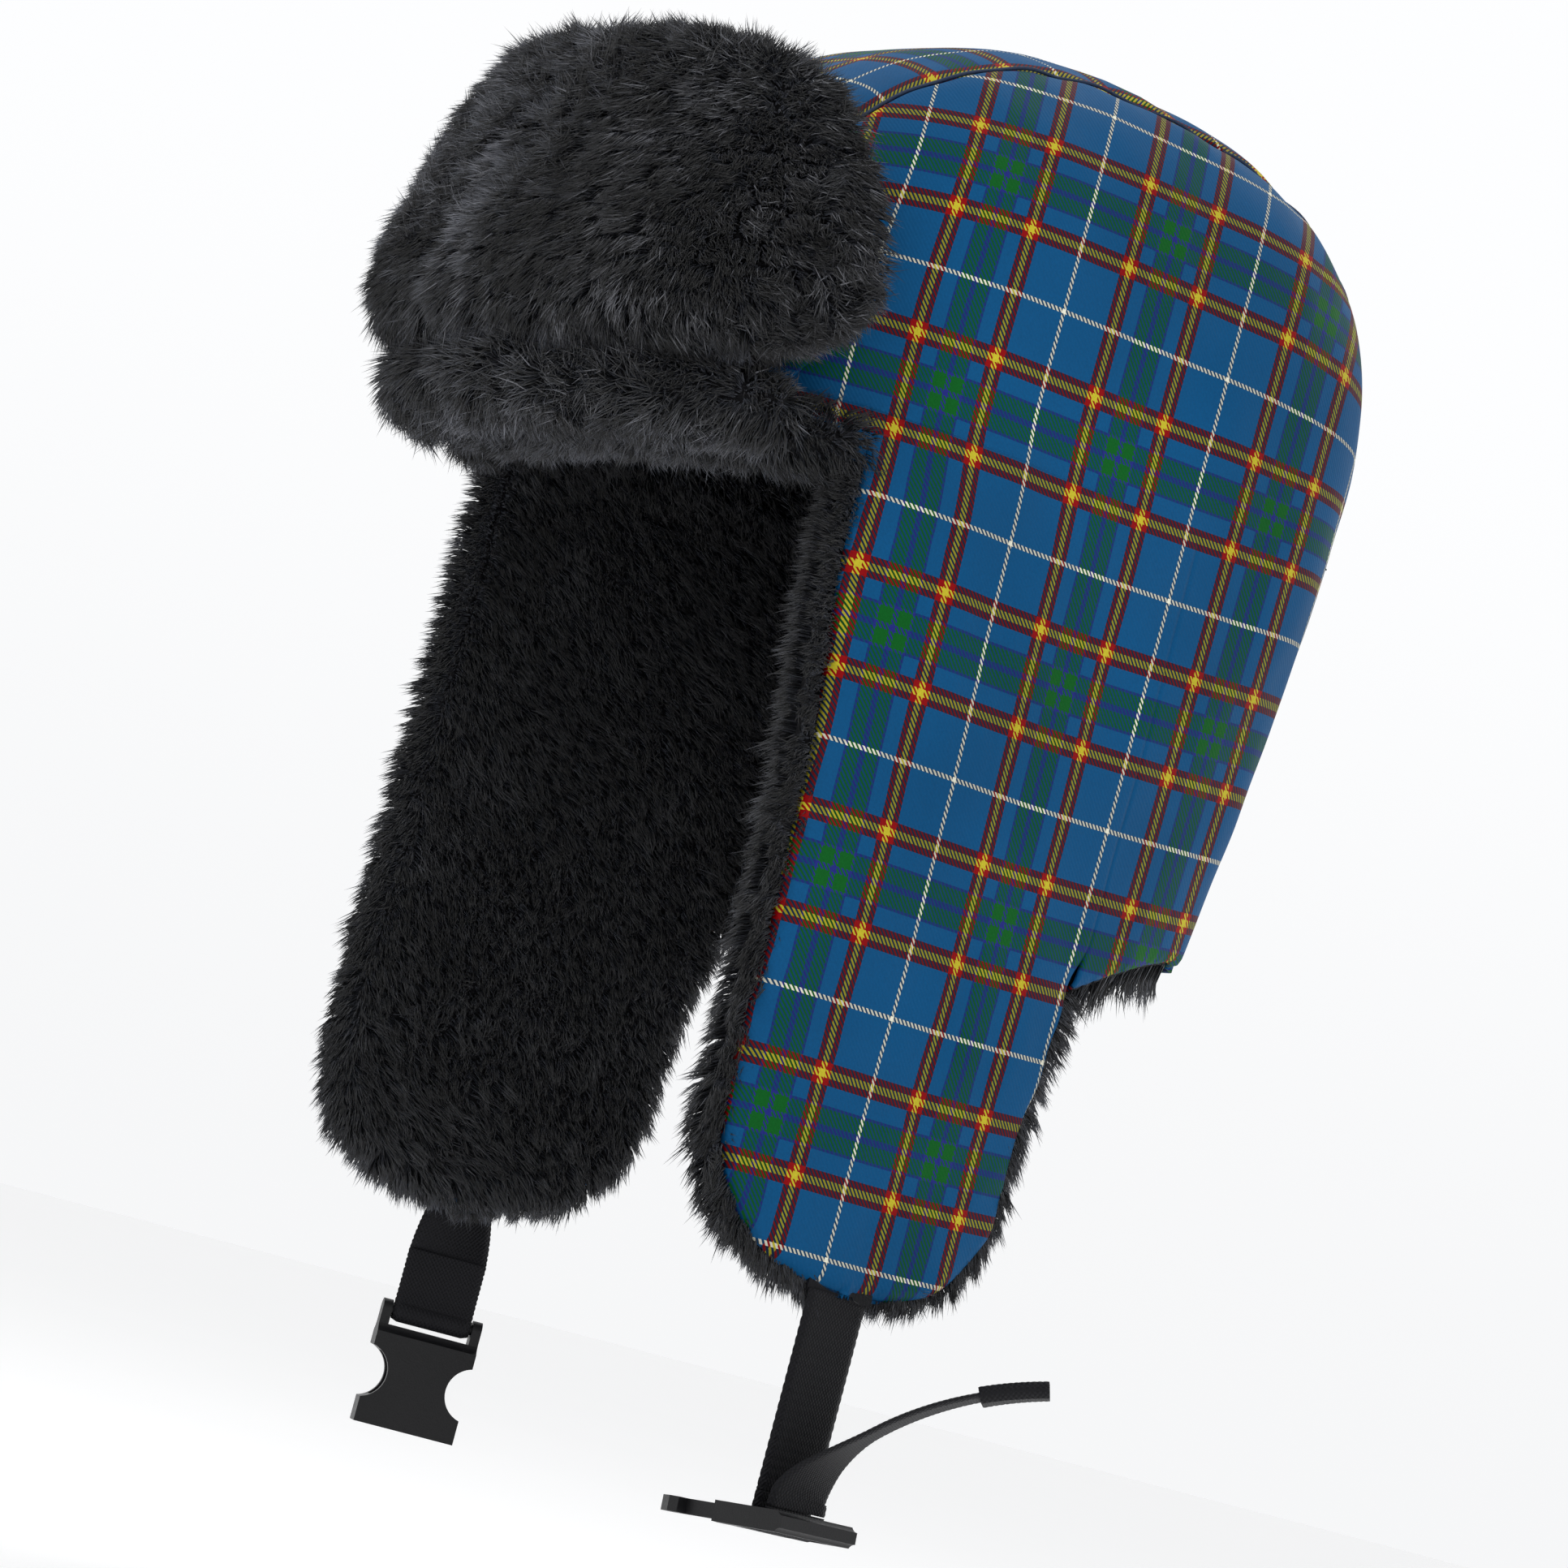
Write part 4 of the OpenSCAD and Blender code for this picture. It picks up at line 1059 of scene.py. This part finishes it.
def brow_shell():
    """The flap's own fabric, on the side that faces the crown while it is folded up."""
    s = np.linspace(-1, 1, 120)
    z = np.linspace(BROW_TOP - 1, BROW_FOOT - 3, 50)
    S, Z = np.meshgrid(s, z, indexing="ij")
    narrow = 0.95 - 0.13 * ease((26 - Z) / 30) - 0.26 * ease((Z - 35) / 60)
    grid = brow_point(S * BROW_END * narrow, Z, brow_back(Z))
    normals = grid_normals(grid)
    grid = grid + normals * (0.5 * layered_noise(grid, 30, 9))[..., None]
    along = np.cumsum(np.linalg.norm(np.diff(grid, axis=0, prepend=grid[:1]), axis=-1), 0)
    uvs = np.stack([along, Z], -1) / 100
    obj = new_mesh("brow_flap_fabric", grid.reshape(-1, 3), grid_faces(*Z.shape), uvs.reshape(-1, 2))
    mod = thicken(obj, SHELL).modifiers[0]
    mod.offset = 1
    obj.data.materials.append(MATERIALS["side"])
    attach(obj, "brow_flap")
    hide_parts("brow_flap_shell")


def dome_lining():
    """Quilted satin inside the dome."""
    T, S = np.meshgrid(np.linspace(0, TAU, 145)[:-1], np.linspace(0.02, 1, 70), indexing="ij")
    across_x, across_y = T * 0 + S, T
    puff = np.abs(np.sin(12 * across_y) * np.sin(across_x * 5.5 * math.pi)) ** 0.5
    on_dome = dome_point(T, np.minimum(1, S / 0.9) * math.pi / 2, WADDING + 1.6)
    on_wall = wall_point(T, mix(WALL_TOP, WALL_TOP - 8, clamp01((S - 0.9) / 0.1)), WADDING + 1.6)
    grid = np.where((S < 0.9)[..., None], on_dome, on_wall)
    grid = grid - grid_normals(grid, True) * (1.6 * puff)[..., None]
    obj = new_mesh("dome_lining", grid.reshape(-1, 3), grid_faces(*S.shape, wrap=True))
    bm = bmesh.new()
    bm.from_mesh(obj.data)
    bmesh.ops.holes_fill(bm, edges=[e for e in bm.edges if e.is_boundary and e.verts[0].co.z > 0.12])
    bmesh.ops.recalc_face_normals(bm, faces=bm.faces)
    bm.to_mesh(obj.data)
    bm.free()
    thicken(obj, 0.8)
    obj.data.materials.append(MATERIALS["lining"])
    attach(obj, "crown")
    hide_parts("crown_dome_lining", "crown_wadding")


# ---- straps and buckle -------------------------------------------------------------------------
STRAP_TOP = FLAP_BOTTOM - 4.0
PLUG_BAR, SOCKET_BAR = -302.0, -274.0
TURN_RADIUS = BAR_RADIUS + 0.1 + WEBBING_THICK / 2
STRAP_LEFT_Y, STRAP_RIGHT_Y = -34.0, -26.0
STRAP_LEFT_TWIST, SOCKET_TURN = math.radians(10), math.radians(26)
TAIL_LENGTH, HEM_FROM = 81.0, 0.77
ANCHOR_DEPTH = 1.5


def strap_place(y):
    return side_point(y, FLAP_BOTTOM, ANCHOR_DEPTH + WEBBING_THICK / 2)


def left_place(p):
    """A point of the left strap's own frame in the hat's."""
    c, s = math.cos(STRAP_LEFT_TWIST), math.sin(STRAP_LEFT_TWIST)
    p = np.asarray(p, float)
    turned = np.stack([c * p[..., 0] - s * p[..., 1], s * p[..., 0] + c * p[..., 1], p[..., 2]], -1)
    return turned + np.array([*strap_place(STRAP_LEFT_Y)[:2], 0.0])


def webbing(name, spots, across, body, node, wide=WEBBING, thick=WEBBING_THICK, rib=0.16,
            pitch=2.7):
    """A woven strap along a path, with rounded selvedges and cross ribs."""
    spots, across = np.asarray(spots, float), np.asarray(across, float)
    step = np.linalg.norm(np.diff(spots, axis=0), axis=1)
    length = np.concatenate([[0], np.cumsum(step)])
    count = max(12, int(length[-1] / 0.45))
    at = np.linspace(0, length[-1], count)
    path = np.stack([np.interp(at, length, spots[:, k]) for k in range(3)], -1)
    wide_way = np.stack([np.interp(at, length, across[:, k]) for k in range(3)], -1)
    ahead = unit(np.gradient(path, axis=0))
    wide_way = unit(wide_way - (wide_way * ahead).sum(-1, keepdims=True) * ahead)
    face = np.cross(ahead, wide_way)
    ripple = np.abs(np.sin(math.pi * at / pitch)) ** 0.6
    side = np.linspace(-1, 1, 13)
    edge = np.sqrt(np.maximum(0, 1 - clamp01((np.abs(side) - 0.93) / 0.07) ** 2)) * 0.92 + 0.08
    w = wide / 2 - 0.35 * (1 - ripple)
    half = (thick / 2 - rib * (1 - ripple))[:, None] * edge[None, :]
    top = path[:, None] + wide_way[:, None] * (w[:, None] * side)[..., None] + face[:, None] * half[..., None]
    low = path[:, None] + wide_way[:, None] * (w[:, None] * side)[..., None] - face[:, None] * half[..., None]
    rings = np.concatenate([top, low[:, ::-1]], 1)
    rings = np.concatenate([rings, rings[:, :1]], 1)
    columns = rings.shape[1]
    uv_across = np.concatenate([side, side[::-1], side[:1]]) * wide / 2
    uvs = np.stack(np.broadcast_arrays(uv_across[None, :], at[:, None]), -1) / 100
    caps = [list(range(columns - 1)), list(range((count - 1) * columns, count * columns - 1))[::-1]]
    obj = new_mesh(name, rings.reshape(-1, 3), [*grid_faces(count, columns).tolist(), *caps], uvs.reshape(-1, 2))
    weld(obj, 0.00001)
    obj.data.materials.append(MATERIALS["webbing"])
    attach(obj, body)
    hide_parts(*([node] if isinstance(node, str) else node))
    return obj


def tail_spot(t):
    lean = (np.maximum(0, t - 0.05) / 0.95) ** 1.3
    return np.stack([
        2 * TURN_RADIUS + TAIL_LENGTH * 0.577 * lean,
        TAIL_LENGTH * 0.468 * lean,
        PLUG_BAR + 4.4 + TAIL_LENGTH * t * (0.97 - 0.35 * t),
    ], -1)


def tail_across(t):
    turn = np.radians(32) * ease(t / 0.4)
    c, s = math.cos(STRAP_LEFT_TWIST), math.sin(STRAP_LEFT_TWIST)
    x, y = -np.sin(turn), np.cos(turn)
    return np.stack([c * x - s * y, s * x + c * y, 0 * t], -1)


def make_straps():
    left_wide = np.array([-math.sin(STRAP_LEFT_TWIST), math.cos(STRAP_LEFT_TWIST), 0.0])
    z = np.linspace(STRAP_TOP + 3.5, PLUG_BAR + 7.9, 40)
    spots = left_place(np.stack([0 * z, 0 * z, z], -1))
    standing = webbing("strap_left_ribbed", spots, np.tile(left_wide, (40, 1)), "strap_left", "strap_left_webbing")
    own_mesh(standing)
    a = np.linspace(0, math.pi, 24)
    turn = np.concatenate([
        [[-TURN_RADIUS, 0, 7.9]],
        np.stack([-TURN_RADIUS * np.cos(a), 0 * a, -TURN_RADIUS * np.sin(a)], -1), [[TURN_RADIUS, 0, 4.05]],
    ]) + np.array([TURN_RADIUS, 0, PLUG_BAR])
    webbing("strap_left_round_bar", left_place(turn), np.tile(left_wide, (len(turn), 1)), "slider",
            "strap_left_turn", rib=0.08)
    t = np.linspace(0, HEM_FROM + 0.01, 60)
    webbing("strap_tail", left_place(tail_spot(t)), tail_across(t), "tail", "strap_left_tail", rib=0.1, pitch=1.6)
    t = np.linspace(HEM_FROM, 1, 30)
    webbing("strap_tail_hem", left_place(tail_spot(t)), tail_across(t), "tail", "strap_left_tail_hem",
            thick=3 * WEBBING_THICK, rib=0.15, pitch=1.6)
    hold = strap_place(STRAP_RIGHT_Y)
    z = np.linspace(STRAP_TOP + 3.5, SOCKET_BAR + 19.8, 30)
    turn_at = SOCKET_TURN * clamp01((STRAP_TOP - z) / (STRAP_TOP - SOCKET_BAR - 20))
    spots = np.stack([0 * z - hold[0], 0 * z + STRAP_RIGHT_Y, z], -1)
    wide_way = np.stack([np.sin(turn_at), np.cos(turn_at), 0 * z], -1)
    webbing("strap_right_smooth", spots, wide_way, "strap_right", "strap_right_webbing", rib=0.04, pitch=1.6)
    face = np.array([math.cos(SOCKET_TURN), -math.sin(SOCKET_TURN), 0.0])
    width = np.array([math.sin(SOCKET_TURN), math.cos(SOCKET_TURN), 0.0])
    base = np.array([-hold[0], STRAP_RIGHT_Y, SOCKET_BAR])
    half = WEBBING_THICK / 2
    sweep = np.linspace(math.radians(30), math.radians(330), 50)
    out = np.concatenate([[half, half, half], TURN_RADIUS * np.sin(sweep), [-half, -half, -half]])
    rise = np.concatenate([[20.2, 12.0, 6.0], TURN_RADIUS * np.cos(sweep), [6.0, 12.0, 20.2]])
    spots = base + out[:, None] * face + rise[:, None] * np.array([0, 0, 1.0])
    webbing("strap_right_round_bar", spots, np.tile(width, (len(spots), 1)), "strap_right", "strap_right_loop",
            rib=0.04, pitch=1.6)
    for name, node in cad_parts.items():
        if name.startswith(("plug_", "socket_")):
            node.data.materials.clear()
            node.data.materials.append(MATERIALS["plastic"])
        if name in ("strap_left_anchor", "strap_right_anchor"):
            node.data.materials.clear()
            node.data.materials.append(MATERIALS["webbing"])


for hand in (1, -1):
    ear_flap_fur(hand)
nape_and_band_fur()
dome_lining()
make_straps()
brow_shell()
brow_tube("brow_fur", "brow_flap", 52.0, 44.0, 22.5, 15.0, BROW_END, 3.2, ["brow_flap_fur", "brow_flap_wadding"],
          74000, 5, 2.6, 9.6, LONG_FUR, lean=0.32)
brow_tube("brow_roll", "brow_flap", -4.0, 9.0, 20.5, 12.5, BROW_END * 0.95, 2.2, ["brow_fold_roll"], 17000, 15, 1.8,
          9.5, LONG_FUR)
brow_tube("rim_fur", "crown", -7.0, 7.5, -3.0, 7.0, math.radians(44.5), 2.2, [], 16000, 25, 1.0, 8.5, LINING_FUR,
          -1.1, rim_point)
